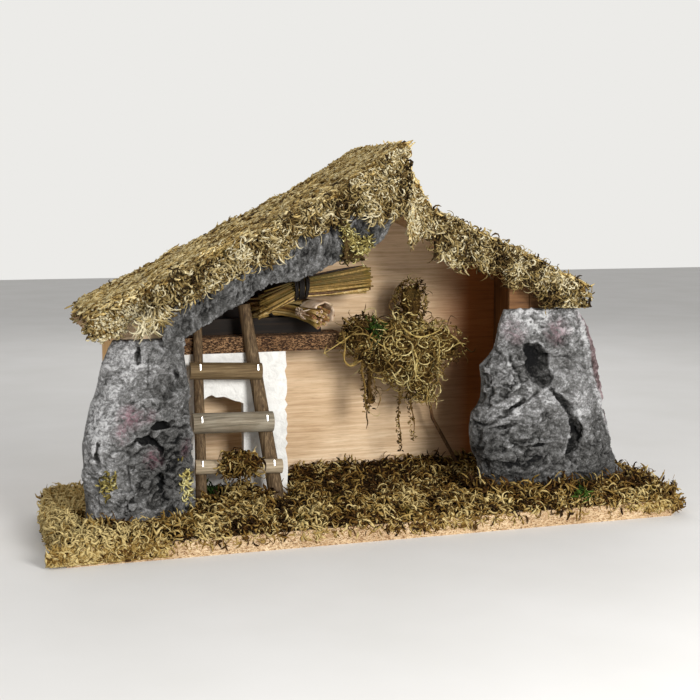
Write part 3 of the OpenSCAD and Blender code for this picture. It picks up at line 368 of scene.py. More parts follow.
def points_of(mesh):
    """Places and normals of a mesh's points"""
    places = np.empty(len(mesh.vertices) * 3)
    mesh.vertices.foreach_get("co", places)
    normals = np.empty(len(mesh.vertices) * 3)
    mesh.vertex_normals.foreach_get("vector", normals)
    return places.reshape(-1, 3), normals.reshape(-1, 3)


def set_values(mesh, name, values):
    """One number for each point, for the material to read"""
    made = mesh.attributes.new(name, "FLOAT", "POINT")
    made.data.foreach_set("value", np.asarray(values, np.float32))


def smoothed(places, edges, rounds):
    """Places after each point has moved to the mean of its neighbours, a number of times"""
    count = np.bincount(edges.ravel(), minlength=len(places))
    one, other = edges[:, 0], edges[:, 1]
    for _ in range(rounds):
        places = np.stack([(np.bincount(one, places[other, k], len(places))
                            + np.bincount(other, places[one, k], len(places))) / count for k in range(3)], axis=1)
    return places


def craggy(place, shift, drawn, crags, ledges):
    """Height of the rock's skin at a place: creased lumps, grain, a few pock holes, broken blocks and level
    ledges; crags and ledges hold where they are, as (x, z, reach, ...)"""
    p = Vector((place[0] * drawn[0] + shift, place[1] + shift, place[2] * drawn[1] + shift))
    bent = p + noise.noise_vector(p * 70) * 0.005
    lump = noise.turbulence(bent * 40, 5, True, amplitude_scale=0.62, frequency_scale=2.15) - 0.55
    worn = min(1.0, max(0.1, 0.45 + 1.8 * noise.noise(p * 46 + Vector((5, 0, 2)))))
    grain = noise.fractal(bent * 420, 0.6, 2.1, 3) * worn
    hole = max(0.0, 0.32 - noise.voronoi(bent * 150)[0][0]) * max(0.0, noise.noise(p * 34 + Vector((0, 7, 0))) + 0.1)
    high = 0.0036 * lump - 0.022 * hole + 0.0006 * grain
    for x, z, reach, size in crags:
        near = min(1.0, 2.0 * max(0.0, 1 - math.hypot(place[0] - x, place[2] - z) / reach))
        if near:
            torn = p + noise.noise_vector(p * 62) * 0.009 + noise.noise_vector(p * 190) * 0.003
            far, spots = noise.voronoi(Vector((torn[0] * 88, torn[1] * 88, torn[2] * 112)))
            gap = max(0.0, 1 - (far[1] - far[0]) / 0.2) ** 2 * max(0.0, 0.15 + 1.7 * noise.noise(p * 48))
            high += size * near * (1.4 * noise.noise(Vector(spots[0]) * 5.3) - gap - 0.2)
    for x, z, reach, pitch, size in ledges:
        near = min(1.0, 2.5 * max(0.0, 1 - math.hypot(place[0] - x, place[2] - z) / reach))
        turn = ((place[2] + 0.1 * place[0]) / pitch + 1.1 * noise.noise(p * 60) + 0.5 * noise.noise(p * 210)) % 1
        rough = max(0.0, 0.55 + 1.6 * noise.noise(p * 75 + Vector((3, 0, 0))))
        high += size * near * min(rough, 1.3) * (turn if turn < 0.75 else 3 * (1 - turn))
    return high


def crevices(places, lines):
    """Depth of the crevices at each place; lines are (points as (x, z), half width, depth)"""
    bend = np.array([noise.noise_vector(Vector(p) * 120) * 0.0024 + noise.noise_vector(Vector(p) * 330) * 0.0009
                     for p in places])
    flat = (places + bend)[:, [0, 2]]
    depth = np.zeros(len(places))
    for points, wide, deep in lines:
        points = np.array(points)
        far = np.full(len(places), 1.0)
        for a, b in zip(points[:-1], points[1:]):
            part = np.clip((flat - a) @ (b - a) / ((b - a) @ (b - a)), 0, 1)
            far = np.minimum(far, np.linalg.norm(flat - a - part[:, None] * (b - a), axis=1))
        depth = np.maximum(depth, deep * np.exp(-(far / wide) ** 2))
    return depth


rock_voxel = 0.00107
base_clear = 0.0162  # rocks stay above the base board
skin_start = -0.0335  # the craggy skin begins ahead of this place in y


def rock(node, name, back, shift, drawn, crags, ledges, lines):
    """Rock piece: the solid, its facets eased, with a craggy skin on all that stands ahead of its back.
    Its height value is low in hollows and cracks and high on edges"""
    made = copy_node(node, name)
    remesh(made, rock_voxel)
    places, normals = points_of(made.data)
    edges = np.empty(len(made.data.edges) * 2, int)
    made.data.edges.foreach_get("vertices", edges)
    edges = edges.reshape(-1, 2)
    free = np.clip((back - places[:, 1]) / 0.004, 0, 1)
    places = places + (smoothed(places, edges, 5) - places) * free[:, None]
    deep = crevices(places, lines)
    high = np.array([craggy(p, shift, drawn, crags, ledges) for p in places]) - deep
    moved = places + normals * (high * free)[:, None]
    moved[:, 1] = np.minimum(moved[:, 1], np.maximum(places[:, 1], back - 0.0005))
    moved[:, 2] = np.maximum(moved[:, 2], base_clear)
    made.data.vertices.foreach_set("co", moved.ravel())
    made.data.update()
    normals = points_of(made.data)[1]
    fine = ((moved - smoothed(moved, edges, 4)) * normals).sum(1) / 0.00026
    broad = ((moved - smoothed(moved, edges, 70)) * normals).sum(1) / 0.0017
    set_values(made.data, "height", np.clip(0.5 + 0.055 * np.clip(fine, -1.3, 1.5) - 0.1 * deep / 0.002
                                             + np.where(broad < 0, 0.2, 0.12) * np.clip(broad, -2.0, 1.2), 0, 1))
    made.data.shade_smooth()
    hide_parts(node)
    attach(made, "root")
    return made


def near_place(tree, place, x, y, z, reach):
    """1 at a point of the object, falling to 0 at the given reach"""
    away = add(tree, "ShaderNodeVectorMath", {0: place, 1: (x, y, z)}, operation="DISTANCE").outputs["Value"]
    return math_node(tree, "SUBTRACT", 1.0, math_node(tree, "DIVIDE", away, reach), True)


def rock_paint(name, strokes, blotch, zones, pink_places, side=None):
    """Grey paint, dark in the hollows and dry-brushed pale on the ridges. Strokes are the brush marks' scale
    along x and z and blotch how uneven the paint is; zones are (x, y, z, reach, lighter or darker), pink
    places (x, y, z, reach, share) and side a rusty pink strip right of a line that leans more at its foot,
    as (lean, where, lean, where)"""
    made, tree, shader, place = material(name, 0.2)
    height = add(tree, "ShaderNodeAttribute", attribute_name="height").outputs["Fac"]
    fine = noise_node(tree, place, 640.0, 5.0, 0.85)
    mottle = noise_node(tree, place, 150.0, 4.0, 0.7, 0.5)
    broad = noise_node(tree, place, 40.0, 4.0, 0.7, 0.3)
    specks = add(tree, "ShaderNodeTexVoronoi", {"Vector": place, "Scale": 900.0}).outputs["Color"]
    specks = add(tree, "ShaderNodeSeparateColor", {"Color": specks}).outputs["Red"]
    drawn = add(tree, "ShaderNodeMapping", {"Vector": place, "Scale": (strokes[0], strokes[0], strokes[1])}).outputs[0]
    brushed = noise_node(tree, drawn, 340.0, 6.0, 0.8, 0.6)
    level = height
    for value, strength in ((fine, 0.8), (mottle, blotch), (broad, 0.75), (specks, 0.16)):
        level = math_node(tree, "ADD", level, swing(tree, value, strength))
    for x, y, z, reach, strength in zones:
        level = math_node(tree, "ADD", level, math_node(tree, "MULTIPLY", near_place(tree, place, x, y, z, reach),
                                                        strength))
    spot = add(tree, "ShaderNodeSeparateXYZ", {"Vector": place})
    if side:
        across = math_node(tree, "SUBTRACT", math_node(tree, "ADD", spot.outputs["X"], math_node(
            tree, "MULTIPLY", spot.outputs["Z"], side[0])), side[1])
        foot = math_node(tree, "SUBTRACT", math_node(tree, "ADD", spot.outputs["X"], math_node(
            tree, "MULTIPLY", spot.outputs["Z"], side[2])), side[3])
        across = math_node(tree, "MINIMUM", across, foot)
        across = math_node(tree, "ADD", across, swing(tree, mottle, 0.012))
        edge = within(tree, across, -0.009, 0.002, 0.003)
        level = math_node(tree, "ADD", level, math_node(tree, "MULTIPLY", edge, 0.24))
    colour = ramp(tree, level, [(0.02, paint(11, 11, 11)), (0.2, paint(40, 39, 37)), (0.42, paint(74, 73, 71)),
                                (0.6, paint(100, 99, 97)), (0.8, paint(138, 137, 136)),
                                (1.05, paint(198, 197, 196))])
    dust = above(tree, brushed, 0.54, 6.0)
    raised = above(tree, level, 0.46, 3.0)
    colour = blend_node(tree, "MIX", math_node(tree, "MULTIPLY", dust, math_node(tree, "MULTIPLY", raised, 0.62)),
                        colour, paint(190, 190, 190))
    if side:
        strip = math_node(tree, "MULTIPLY", math_node(tree, "DIVIDE", across, 0.003, True),
                          within(tree, spot.outputs["Z"], 0.02, 0.25, 0.05))
        colour = blend_node(tree, "MIX", math_node(tree, "MULTIPLY", strip, 0.62), colour,
                            ramp(tree, level, [(0.2, paint(44, 30, 28)), (0.5, paint(104, 78, 78)),
                                               (0.8, paint(176, 148, 150))]))
    for x, y, z, reach, share in pink_places:
        bloom = math_node(tree, "MULTIPLY", near_place(tree, place, x, y, z, reach),
                          above(tree, mottle, 0.4, 7.0, False), True)
        colour = blend_node(tree, "MIX", math_node(tree, "MULTIPLY", bloom, share), colour, paint(140, 92, 104))
    rise = math_node(tree, "ADD", fine, math_node(tree, "MULTIPLY", brushed, 0.5))
    finish_material(tree, shader, colour, 0.85, rise, 1.0, 0.0013)
    return made


# Crevices as lines over the front, then the zones of lighter and darker paint
left_lines = [
    ([(-0.2446, 0.0956), (-0.2364, 0.1016), (-0.2246, 0.1027), (-0.2208, 0.1118), (-0.2089, 0.113), (-0.1988, 0.1115),
      (-0.1869, 0.1089)], 0.0016, 0.003), ([(-0.2129, 0.0937), (-0.2103, 0.0861), (-0.2141, 0.078)], 0.0016, 0.0026),
    ([(-0.2428, 0.0955), (-0.2441, 0.0799), (-0.2452, 0.068)], 0.0014, 0.0016),
    ([(-0.2273, 0.0584), (-0.2235, 0.0665), (-0.2161, 0.0697), (-0.205, 0.0746), (-0.1975, 0.0769)], 0.0013, 0.0024),
    ([(-0.2171, 0.0661), (-0.2146, 0.0491), (-0.2055, 0.0446)], 0.0012, 0.002),
    ([(-0.1972, 0.1011), (-0.1907, 0.098), (-0.1852, 0.0967)], 0.0012, 0.002),
    ([(-0.2712, 0.0661), (-0.2707, 0.0494), (-0.2715, 0.035)], 0.0012, 0.0012),
    ([(-0.2225, 0.175), (-0.2235, 0.16), (-0.2215, 0.148)], 0.0012, 0.0012),
    ([(-0.2367, 0.0878), (-0.2329, 0.094), (-0.2238, 0.0944)], 0.0013, 0.0018)]
right_lines = [
    ([(0.1032, 0.0944), (0.1162, 0.0957), (0.1355, 0.1077), (0.1518, 0.1191), (0.1648, 0.1266)], 0.0017, 0.0024),
    ([(0.1406, 0.1297), (0.1245, 0.1184), (0.1137, 0.1139)], 0.0013, 0.0016),
    ([(0.139, 0.1629), (0.1457, 0.1496), (0.1514, 0.1373)], 0.0018, 0.0024),
    ([(0.121, 0.1306), (0.1191, 0.1187)], 0.0018, 0.0022), ([(0.1666, 0.204), (0.169, 0.196)], 0.0013, 0.0013),
    ([(0.1785, 0.1634), (0.1952, 0.1608), (0.2088, 0.1582)], 0.0014, 0.0016),
    ([(0.1089, 0.0759), (0.1058, 0.0609)], 0.0015, 0.0018),
    ([(0.1291, 0.1703), (0.1347, 0.1581), (0.1327, 0.1502)], 0.0015, 0.0016),
    ([(0.1251, 0.08), (0.1471, 0.0736), (0.1748, 0.075)], 0.0012, 0.0012)]
arch_lines = [([(x, z), (x + 0.0035, z - 0.018)], 0.0012, 0.0015) for x, z in (
    (-0.188, 0.227), (-0.1693, 0.2404), (-0.1365, 0.2489), (-0.1155, 0.2606), (-0.0934, 0.2696), (-0.0495, 0.2916),
    (-0.0119, 0.3036), (0.0052, 0.313))]
hollow_line = [(0.182, -0.054, 0.115), (0.193, -0.056, 0.098), (0.203, -0.058, 0.08), (0.207, -0.058, 0.062),
               (0.204, -0.058, 0.046)]
left_paint = rock_paint("rock_paint_left", (0.3, 1.6), 0.6, [
    (-0.268, -0.05, 0.14, 0.06, 0.3), (-0.272, -0.055, 0.1, 0.055, 0.26), (-0.262, -0.06, 0.05, 0.045, 0.24),
    (-0.24, -0.05, 0.175, 0.04, 0.2), (-0.27, -0.06, 0.139, 0.012, 0.2), (-0.256, -0.06, 0.138, 0.012, 0.2),
    (-0.208, -0.07, 0.055, 0.07, -0.16), (-0.212, -0.066, 0.098, 0.03, -0.16),
    (-0.196, -0.066, 0.083, 0.03, -0.12), (-0.232, -0.066, 0.06, 0.03, -0.1)],
    [(-0.241, -0.062, 0.122, 0.015, 0.6), (-0.25, -0.062, 0.106, 0.011, 0.45), (-0.224, -0.066, 0.124, 0.012, 0.4),
     (-0.222, -0.066, 0.084, 0.012, 0.5), (-0.186, -0.06, 0.09, 0.012, 0.4)])
right_paint = rock_paint("rock_paint_right", (0.5, 1.1), 0.95, [
    (0.145, -0.05, 0.2, 0.045, 0.26), (0.18, -0.05, 0.205, 0.04, 0.26), (0.212, -0.055, 0.192, 0.035, 0.2),
    (0.2127, -0.062, 0.14, 0.028, 0.26), (0.222, -0.062, 0.112, 0.024, 0.26), (0.139, -0.06, 0.15, 0.02, 0.24),
    (0.152, -0.068, 0.112, 0.024, 0.2), (0.128, -0.06, 0.118, 0.02, 0.12), (0.18, -0.066, 0.122, 0.02, 0.18),
    # The two zones at y -0.044, and the zones along hollow_line below, are painted shade inside the hollow and down its
    # line
    (0.186, -0.055, 0.182, 0.016, -0.2), (0.156, -0.044, 0.163, 0.022, -0.6), (0.166, -0.044, 0.156, 0.018, -0.4),
    (0.15, -0.075, 0.04, 0.06, -0.22), (0.23, -0.075, 0.05, 0.05, -0.16), (0.112, -0.06, 0.075, 0.03, -0.18)]
    + [(x, y + 0.008, z, 0.018, -0.4) for x, y, z in hollow_line],
    [(0.134, -0.055, 0.194, 0.02, 0.5), (0.147, -0.055, 0.186, 0.016, 0.35), (0.193, -0.055, 0.188, 0.02, 0.45),
     (0.108, -0.055, 0.14, 0.016, 0.3), (0.226, -0.045, 0.2, 0.012, 0.5), (0.2535, -0.05, 0.092, 0.006, 0.8)],
    (0.13, 0.2523, 0.45, 0.2944))
arch_paint = rock_paint("rock_paint_arch", (0.8, 0.8), 0.8, [
    (-0.17, -0.06, 0.205, 0.05, -0.12), (-0.1605, -0.056, 0.226, 0.03, -0.04), (-0.0, -0.056, 0.27, 0.16, -0.14),
    (-0.05, -0.056, 0.275, 0.035, 0.08), (0.0, -0.056, 0.3, 0.03, 0.06), (-0.09, -0.056, 0.235, 0.03, -0.12)],
    [(-0.1, -0.058, 0.2, 0.02, 0.3)])
for node, paint_used, shift, drawn, crags, ledges, lines in (
        ("rock_pillar_left", left_paint, 0.3, (1.0, 1.1), [(-0.208, 0.065, 0.075, 0.003), (-0.214, 0.14, 0.04, 0.0012)],
         [(-0.272, 0.11, 0.085, 0.0046, 0.0012)], left_lines),
        ("rock_pillar_right", right_paint, 0.7, (0.85, 1.15),
         [(0.128, 0.14, 0.045, 0.0022), (0.24, 0.05, 0.06, 0.0022), (0.15, 0.06, 0.05, 0.0014),
          (0.152, 0.076, 0.03, 0.0034), (0.2, 0.19, 0.04, 0.0012)],
         [(0.15, 0.09, 0.07, 0.0062, 0.0018)], right_lines),
        ("rock_arch", arch_paint, 1.1, (1.5, 0.8), [(-0.1, 0.25, 0.16, 0.0016)], [], arch_lines)):
    made = rock(node, node + "_carved", skin_start, shift, drawn, crags, ledges, lines)
    made.data.materials.append(paint_used)


# Straw sheaves. Cut stalks tied with dark twine: the long one droops at its loose end and lies on
# the short one, whose open stalk ends look out over the loft.
def tubes(name, paths, radii, tones, sides, taper, hollow=0.0, uneven=0.0, seed=0, flat=1.0):
    """Closed tubes along paths (count, steps, 3); hollow is how deep the far ends are open, uneven how
    much their width varies along them and flat how thick they are for their width"""
    count, steps, _ = paths.shape
    heading = np.gradient(paths, axis=1)
    heading /= np.linalg.norm(heading, axis=2, keepdims=True) + 1e-12
    across = np.cross(heading, np.array([0.31, 0.23, 0.92]))
    across /= np.linalg.norm(across, axis=2, keepdims=True) + 1e-12
    up = np.cross(heading, across)
    turn = np.arange(sides) * 2 * np.pi / sides
    width = radii[:, None] * np.interp(np.linspace(0, 1, steps), np.linspace(0, 1, len(taper)), taper)[None, :]
    width = width * (1 + uneven * np.random.default_rng(seed).uniform(-1, 1, width.shape))
    if hollow:
        inner = paths[:, -1:, :] - heading[:, -1:, :] * hollow
        paths = np.concatenate([paths, paths[:, -1:, :], inner], axis=1)
        heading = np.concatenate([heading, heading[:, -1:, :], heading[:, -1:, :]], axis=1)
        across = np.concatenate([across, across[:, -1:, :], across[:, -1:, :]], axis=1)
        up = np.concatenate([up, up[:, -1:, :], up[:, -1:, :]], axis=1)
        width = np.concatenate([width, width[:, -1:] * 0.62, width[:, -1:] * 0.62], axis=1)
        steps += 2
    ring = (paths[:, :, None, :] + width[:, :, None, None] * (
        np.cos(turn)[None, None, :, None] * across[:, :, None, :]
        + np.sin(turn)[None, None, :, None] * up[:, :, None, :] * flat))
    first = np.arange(count)[:, None, None] * steps * sides
    row = np.arange(steps - 1)[None, :, None] * sides
    a = first + row + np.arange(sides)[None, None, :]
    b = first + row + (np.arange(sides)[None, None, :] + 1) % sides
    walls = np.stack([a, b, b + sides, a + sides], axis=3).reshape(-1, 4)
    start = first[:, 0, :] + np.arange(sides)[::-1][None, :]
    end = first[:, 0, :] + (steps - 1) * sides + np.arange(sides)[None, :]
    mesh = bpy.data.meshes.new(name)
    mesh.from_pydata(ring.reshape(-1, 3).tolist(), [], walls.tolist() + start.tolist() + end.tolist())
    along = np.linspace(0, 1, steps)
    set_values(mesh, "tone", np.repeat(tones, steps * sides))
    set_values(mesh, "along", np.tile(np.repeat(along, sides), count))
    mesh.shade_smooth()
    made = bpy.data.objects.new(name, mesh)
    scene.collection.objects.link(made)
    return made


def sheaf(name, node, tie, loose, cut, bend, thick, rings, spread_loose, spread_cut, side, side_cut, ragged, seed):
    """Stalks from the loose end through the tie to the cut end; loose, cut and bend are from the tie,
    bend being the point that the cut half turns about; places in metres"""
    rng = np.random.default_rng(seed)
    tie, loose, cut, bend, side, side_cut = (np.array(v, float) for v in (tie, loose, cut, bend, side, side_cut))
    up = np.array([0, 0, 1.0])
    places = [(i + j / 2, j * math.sin(math.pi / 3)) for i in range(-rings, rings + 1)
              for j in range(-rings, rings + 1) if abs(i + j) <= rings]
    places = np.array(places) * thick * 1.02
    count = len(places)
    off = places[:, :1] * side + places[:, 1:] * up
    off_cut = (places[:, :1] * side_cut + places[:, 1:] * up) * spread_cut
    heading = (cut - bend) / np.linalg.norm(cut - bend)
    ends = tie + cut + off_cut + rng.normal(0, thick * 0.6, (count, 3))
    ends += heading * rng.uniform(-ragged, ragged * 0.4, (count, 1))
    turn = tie + bend + (off + off_cut) / 2 + rng.normal(0, thick * 0.6, (count, 3))
    starts = tie + loose + off * spread_loose + rng.normal(0, thick * 0.8, (count, 3))
    starts += loose / np.linalg.norm(loose) * rng.uniform(-2 * ragged, ragged * 0.4, (count, 1))
    steps = [starts * (1 - s) + (tie + off) * s for s in np.linspace(0, 1, 5)[:-1]]
    for s in np.linspace(0, 1, 8):
        steps.append((tie + off) * (1 - s) ** 2 + turn * 2 * s * (1 - s) + ends * s * s)
    made = tubes(name, np.stack(steps, axis=1), rng.uniform(0.32, 0.7, count) * thick, rng.random(count), 8,
                 [0.8, 1, 1], 0.005, 0.18, seed)
    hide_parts(node)
    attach(made, "root")
    return made


def straw_paint(name, tones, rims, inside):
    """Stalks in many shades, greener in places; an open end has a rim by the stalk's tone and, deeper in, painted shade
    in the inside's colour
    """
    made, tree, shader, place = material(name)
    tone = add(tree, "ShaderNodeAttribute", attribute_name="tone").outputs["Fac"]
    along = add(tree, "ShaderNodeAttribute", attribute_name="along").outputs["Fac"]
    streak = noise_node(tree, place, 380.0, 5.0, 0.75)
    level = math_node(tree, "ADD", tone, swing(tree, streak, 0.7))
    colour = ramp(tree, level, [(i / (len(tones) - 1), paint(*t)) for i, t in enumerate(tones)])
    green = above(tree, noise_node(tree, place, 60.0, 3.0), 0.52, 1.8, False)
    colour = blend_node(tree, "MIX", green, colour, paint(96, 92, 40))
    rim = ramp(tree, tone, [(i / (len(rims) - 1), paint(*t)) for i, t in enumerate(rims)])
    # Painted shade: deep in an open stalk end the colour turns to the dark inside colour
    deep = above(tree, along, 0.925, 40.0)
    mouth = blend_node(tree, "MIX", deep, rim, paint(*inside))
    colour = blend_node(tree, "MIX", math_node(tree, "GREATER_THAN", along, 0.87), colour, mouth)
    finish_material(tree, shader, colour, 0.55, streak, 0.4, 0.0004)
    return made


def run(points, steps=12):
    """Smooth run of places through a few given ones"""
    points = np.array(points, float)
    far = np.concatenate([[0], np.cumsum(np.linalg.norm(np.diff(points, axis=0), axis=1))])
    made = np.stack([np.interp(np.linspace(0, far[-1], steps), far, points[:, k]) for k in range(3)], axis=1)
    for _ in range(2):
        made[1:-1] = (made[:-2] + 2 * made[1:-1] + made[2:]) / 4
    return made


def middle_of(node):
    low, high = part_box(node)
    return (np.array(low) + np.array(high)) / 2


# Lengths and bends are those of the solids. The long sheaf has more and thinner stalks than its
# solid, and its tie gets four more turns, two on each side.
long_straw = straw_paint("long_straw", [(22, 13, 5), (70, 42, 18), (104, 78, 34), (84, 72, 30), (138, 106, 50),
                                        (110, 88, 42), (160, 128, 68), (204, 180, 128)],
                         [(120, 90, 44), (190, 160, 100)], (52, 32, 12))
short_straw = straw_paint("short_straw", [(58, 36, 14), (112, 80, 40), (140, 112, 58), (176, 150, 100)],
                          [(70, 34, 14), (134, 84, 46), (156, 112, 78), (200, 176, 156)], (44, 16, 8))
short_cut = (0.0396, -0.041, -0.0074)
short_sheaf = sheaf("straw_sheaf_short_stalks", "straw_sheaf_short", middle_of("straw_tie_short"),
                    (-0.023, 0.002, -0.003), short_cut, (0.0297, -0.0171, -0.003), 0.0031, 3, 1.1, 1.15,
                    (0.719, 0.695, 0), (0.92, 0.38, 0), 0.0012, 5)
short_sheaf.data.materials.append(short_straw)
long_sheaf = sheaf("straw_sheaf_long_stalks", "straw_sheaf_long", middle_of("straw_tie_long"),
                   (-0.0396, 0.0044, -0.0194), (0.072, 0, 0.0072), (0.036, 0, 0.0036), 0.0023, 4, 1.25, 1.55, (0, 1, 0),
                   (0, 1, 0), 0.003, 8)
long_sheaf.data.materials.append(long_straw)
end = middle_of("straw_tie_short") + np.array(short_cut)
bpy.ops.mesh.primitive_grid_add(x_subdivisions=22, y_subdivisions=8, size=1)
bark = bpy.context.object
bark.name = "straw_sheaf_bark"
for point in bark.data.vertices:
    lean = -1.0 + 3.2 * (point.co.x + 0.5)
    back = 0.024 * (0.5 - point.co.y) - 0.003 + 0.002 * noise.noise(Vector((lean * 2, 0, 0)))
    out = 0.0132 + 0.0012 * noise.noise(Vector((lean * 1.7, point.co.y * 2, 3))) + 0.0012 * (0.5 - point.co.y)
    point.co = Vector((end[0] + 0.92 * math.sin(lean) * out - 0.45 * back,
                       end[1] + 0.38 * math.sin(lean) * out + 0.87 * back, end[2] + math.cos(lean) * out))
made = bark.modifiers.new("bark", "SOLIDIFY")
made.thickness = 0.0013
made.offset = 1.0
bpy.ops.object.modifier_apply(modifier="bark")
bpy.ops.object.mode_set(mode="EDIT")
bpy.ops.mesh.select_all(action="SELECT")
bpy.ops.mesh.normals_make_consistent(inside=False)
bpy.ops.object.mode_set(mode="OBJECT")
set_values(bark.data, "tone", [0.62 + 0.5 * noise.noise(v.co * 190) for v in bark.data.vertices])
set_values(bark.data, "along", np.full(len(bark.data.vertices), 0.5))
bark.data.shade_smooth()
bark.select_set(False)
bark_paint = straw_paint("bark_paint", [(78, 54, 36), (150, 122, 94), (192, 168, 142), (222, 204, 184)],
                         [(190, 168, 146), (214, 196, 178)], (150, 120, 92))
bark.data.materials.append(bark_paint)
rng = np.random.default_rng(31)
spikes = [run([end + np.array([-0.022, 0.012, 0.002]) + rng.normal(0, 0.0025, 3),
               end + np.array([-0.0205, -0.004, 0.0025]) + rng.normal(0, 0.0042, 3)]) for _ in range(26)]
spikes = tubes("straw_sheaf_spikes", np.stack(spikes), rng.uniform(0.0004, 0.0009, 26), rng.uniform(0.5, 1, 26), 5,
               [1, 1, 0.5])
spikes.data.materials.append(bark_paint)
for made in (bark, spikes):
    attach(made, "root")
tie_cord = wood("tie_cord", (0, 90, 0), 900, 8, [(12, 9, 8), (22, 17, 14), (38, 31, 25)], 0.7)
dress("straw_tie_long", tie_cord)
dress("straw_tie_short", tie_cord)
for index, off in enumerate((-0.0065, -0.0048, 0.0048, 0.0065)):
    bpy.ops.mesh.primitive_torus_add(major_radius=0.0118, minor_radius=0.001, major_segments=36, minor_segments=6,
                                     location=middle_of("straw_tie_long") + np.array([off, 0, 0.15 * off]),
                                     rotation=(0, math.radians(86 + 3 * index), 0))
    made = bpy.context.object
    made.name = "straw_tie_long_turn_%d" % (index + 1)
    bpy.ops.object.transform_apply(location=True, rotation=True, scale=True)
    made.data.materials.append(tie_cord)
    made.data.shade_smooth()
    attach(made, "root")
    made.select_set(False)


# Tree. A leaning twig with side twigs, glued in the moss before the back wall.
tree_bark = wood("tree_bark", (0, 90, 0), 700, 12, [(58, 40, 24), (92, 64, 38), (124, 92, 58)], 0.8, 60.0)
dress("tree_trunk", tree_bark)


# Moss. Dried curly moss glued on in mats: pale straw colour on the roof, where it is pressed flat,
# yellow-green with brown patches on the base, long and stringy on the tree.
def moss_paint(name, stops, dark, bright=(66, 96, 26)):
    """Dry moss: colours by each strand's tone, darker towards its root, greener in a few places"""
    made, tree, shader, place = material(name, 0.12)
    tone = add(tree, "ShaderNodeAttribute", attribute_name="tone").outputs["Fac"]
    along = add(tree, "ShaderNodeAttribute", attribute_name="along").outputs["Fac"]
    fine = noise_node(tree, place, 300.0, 3.0, 0.65)
    level = math_node(tree, "ADD", tone, swing(tree, fine, 0.5))
    colour = ramp(tree, level, [(p, paint(*c)) for p, c in stops])
    root = ramp(tree, along, [(0.0, paint(*dark)), (0.35, paint(255, 255, 255))])
    colour = blend_node(tree, "MULTIPLY", 0.85, colour, root)
    green = above(tree, noise_node(tree, place, 38.0, 3.0), 0.62, 5.0)
    colour = blend_node(tree, "MIX", math_node(tree, "MULTIPLY", green, 0.5), colour, paint(*bright))
    finish_material(tree, shader, colour, 0.8, fine, 0.3, 0.0004)
    return made


roof_green = moss_paint("roof_moss", [(0.0, (50, 32, 10)), (0.2, (112, 84, 38)), (0.42, (168, 140, 82)),
                                      (0.7, (210, 184, 122)), (1.0, (238, 220, 168))], (104, 84, 54), (126, 112, 52))
fringe_green = moss_paint("fringe_moss", [(0.0, (40, 28, 12)), (0.25, (92, 72, 38)), (0.5, (140, 120, 74)),
                                          (0.75, (172, 155, 112)), (1.0, (206, 195, 162))], (84, 68, 48), (98, 96, 44))
arch_green = moss_paint("arch_moss", [(0.0, (44, 36, 16)), (0.4, (118, 104, 54)), (0.8, (182, 168, 104)),
                                      (1.0, (216, 208, 152))], (100, 88, 60), (110, 112, 48))
ground_green = moss_paint("ground_moss", [(0.0, (32, 18, 3)), (0.22, (72, 46, 14)), (0.45, (118, 90, 40)),
                                      (0.7, (158, 132, 76)), (1.0, (198, 177, 122))], (76, 58, 34), (64, 84, 20))
tree_brown = moss_paint("tree_moss", [(0.0, (44, 29, 9)), (0.3, (94, 70, 32)), (0.6, (138, 112, 60)),
                                      (0.8, (176, 154, 92)), (1.0, (212, 194, 136))], (96, 76, 50), (74, 64, 30))


def moss_core(node, name, colours, voxel, rough, inset=None, dark=0.14):
    """Body of a moss mat: the solid with a crumbly dark skin, seen between the strands, dark partly by the moss's own
    brown and partly as painted shade in the gaps; inset gives how far it is drawn in, by place"""
    made = copy_node(node, name)
    remesh(made, voxel)
    places, normals = points_of(made.data)
    push = np.array([noise.fractal(Vector(p) * 240, 0.8, 2.0, 3) for p in places]) * rough
    moved = places + normals * (push - rough * 0.8 - (inset(places) if inset else 0.0))[:, None]
    moved[:, 2] = np.maximum(moved[:, 2], float(places[:, 2].min()))
    made.data.vertices.foreach_set("co", moved.ravel())
    set_values(made.data, "tone", np.clip(dark + push / rough * 0.1, 0, 1))
    set_values(made.data, "along", np.full(len(places), 0.4))
    made.data.materials.append(colours)
    made.data.shade_smooth()
    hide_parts(node)
    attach(made, "root")
    return made


def scatter(node, count, rng, wanted=None):
    """Random places on a CAD solid's skin with their normals; wanted keeps some of them"""
    mesh = nodes[node].data
    mesh.calc_loop_triangles()
    corner = np.empty(len(mesh.loop_triangles) * 3, int)
    mesh.loop_triangles.foreach_get("vertices", corner)
    co = np.empty(len(mesh.vertices) * 3)
    mesh.vertices.foreach_get("co", co)
    tri = co.reshape(-1, 3)[corner.reshape(-1, 3)]
    normal = np.cross(tri[:, 1] - tri[:, 0], tri[:, 2] - tri[:, 0])
    area = np.linalg.norm(normal, axis=1) / 2
    normal /= 2 * area[:, None] + 1e-15
    middle = tri.mean(axis=1)
    weight = area * (wanted(middle, normal) if wanted else 1.0)
    pick = rng.choice(len(tri), count, p=weight / weight.sum())
    u, v = rng.random(count), rng.random(count)
    over = u + v > 1
    u[over], v[over] = 1 - u[over], 1 - v[over]
    t = tri[pick]
    place = t[:, 0] + (t[:, 1] - t[:, 0]) * u[:, None] + (t[:, 2] - t[:, 0]) * v[:, None]
    return place, normal[pick]


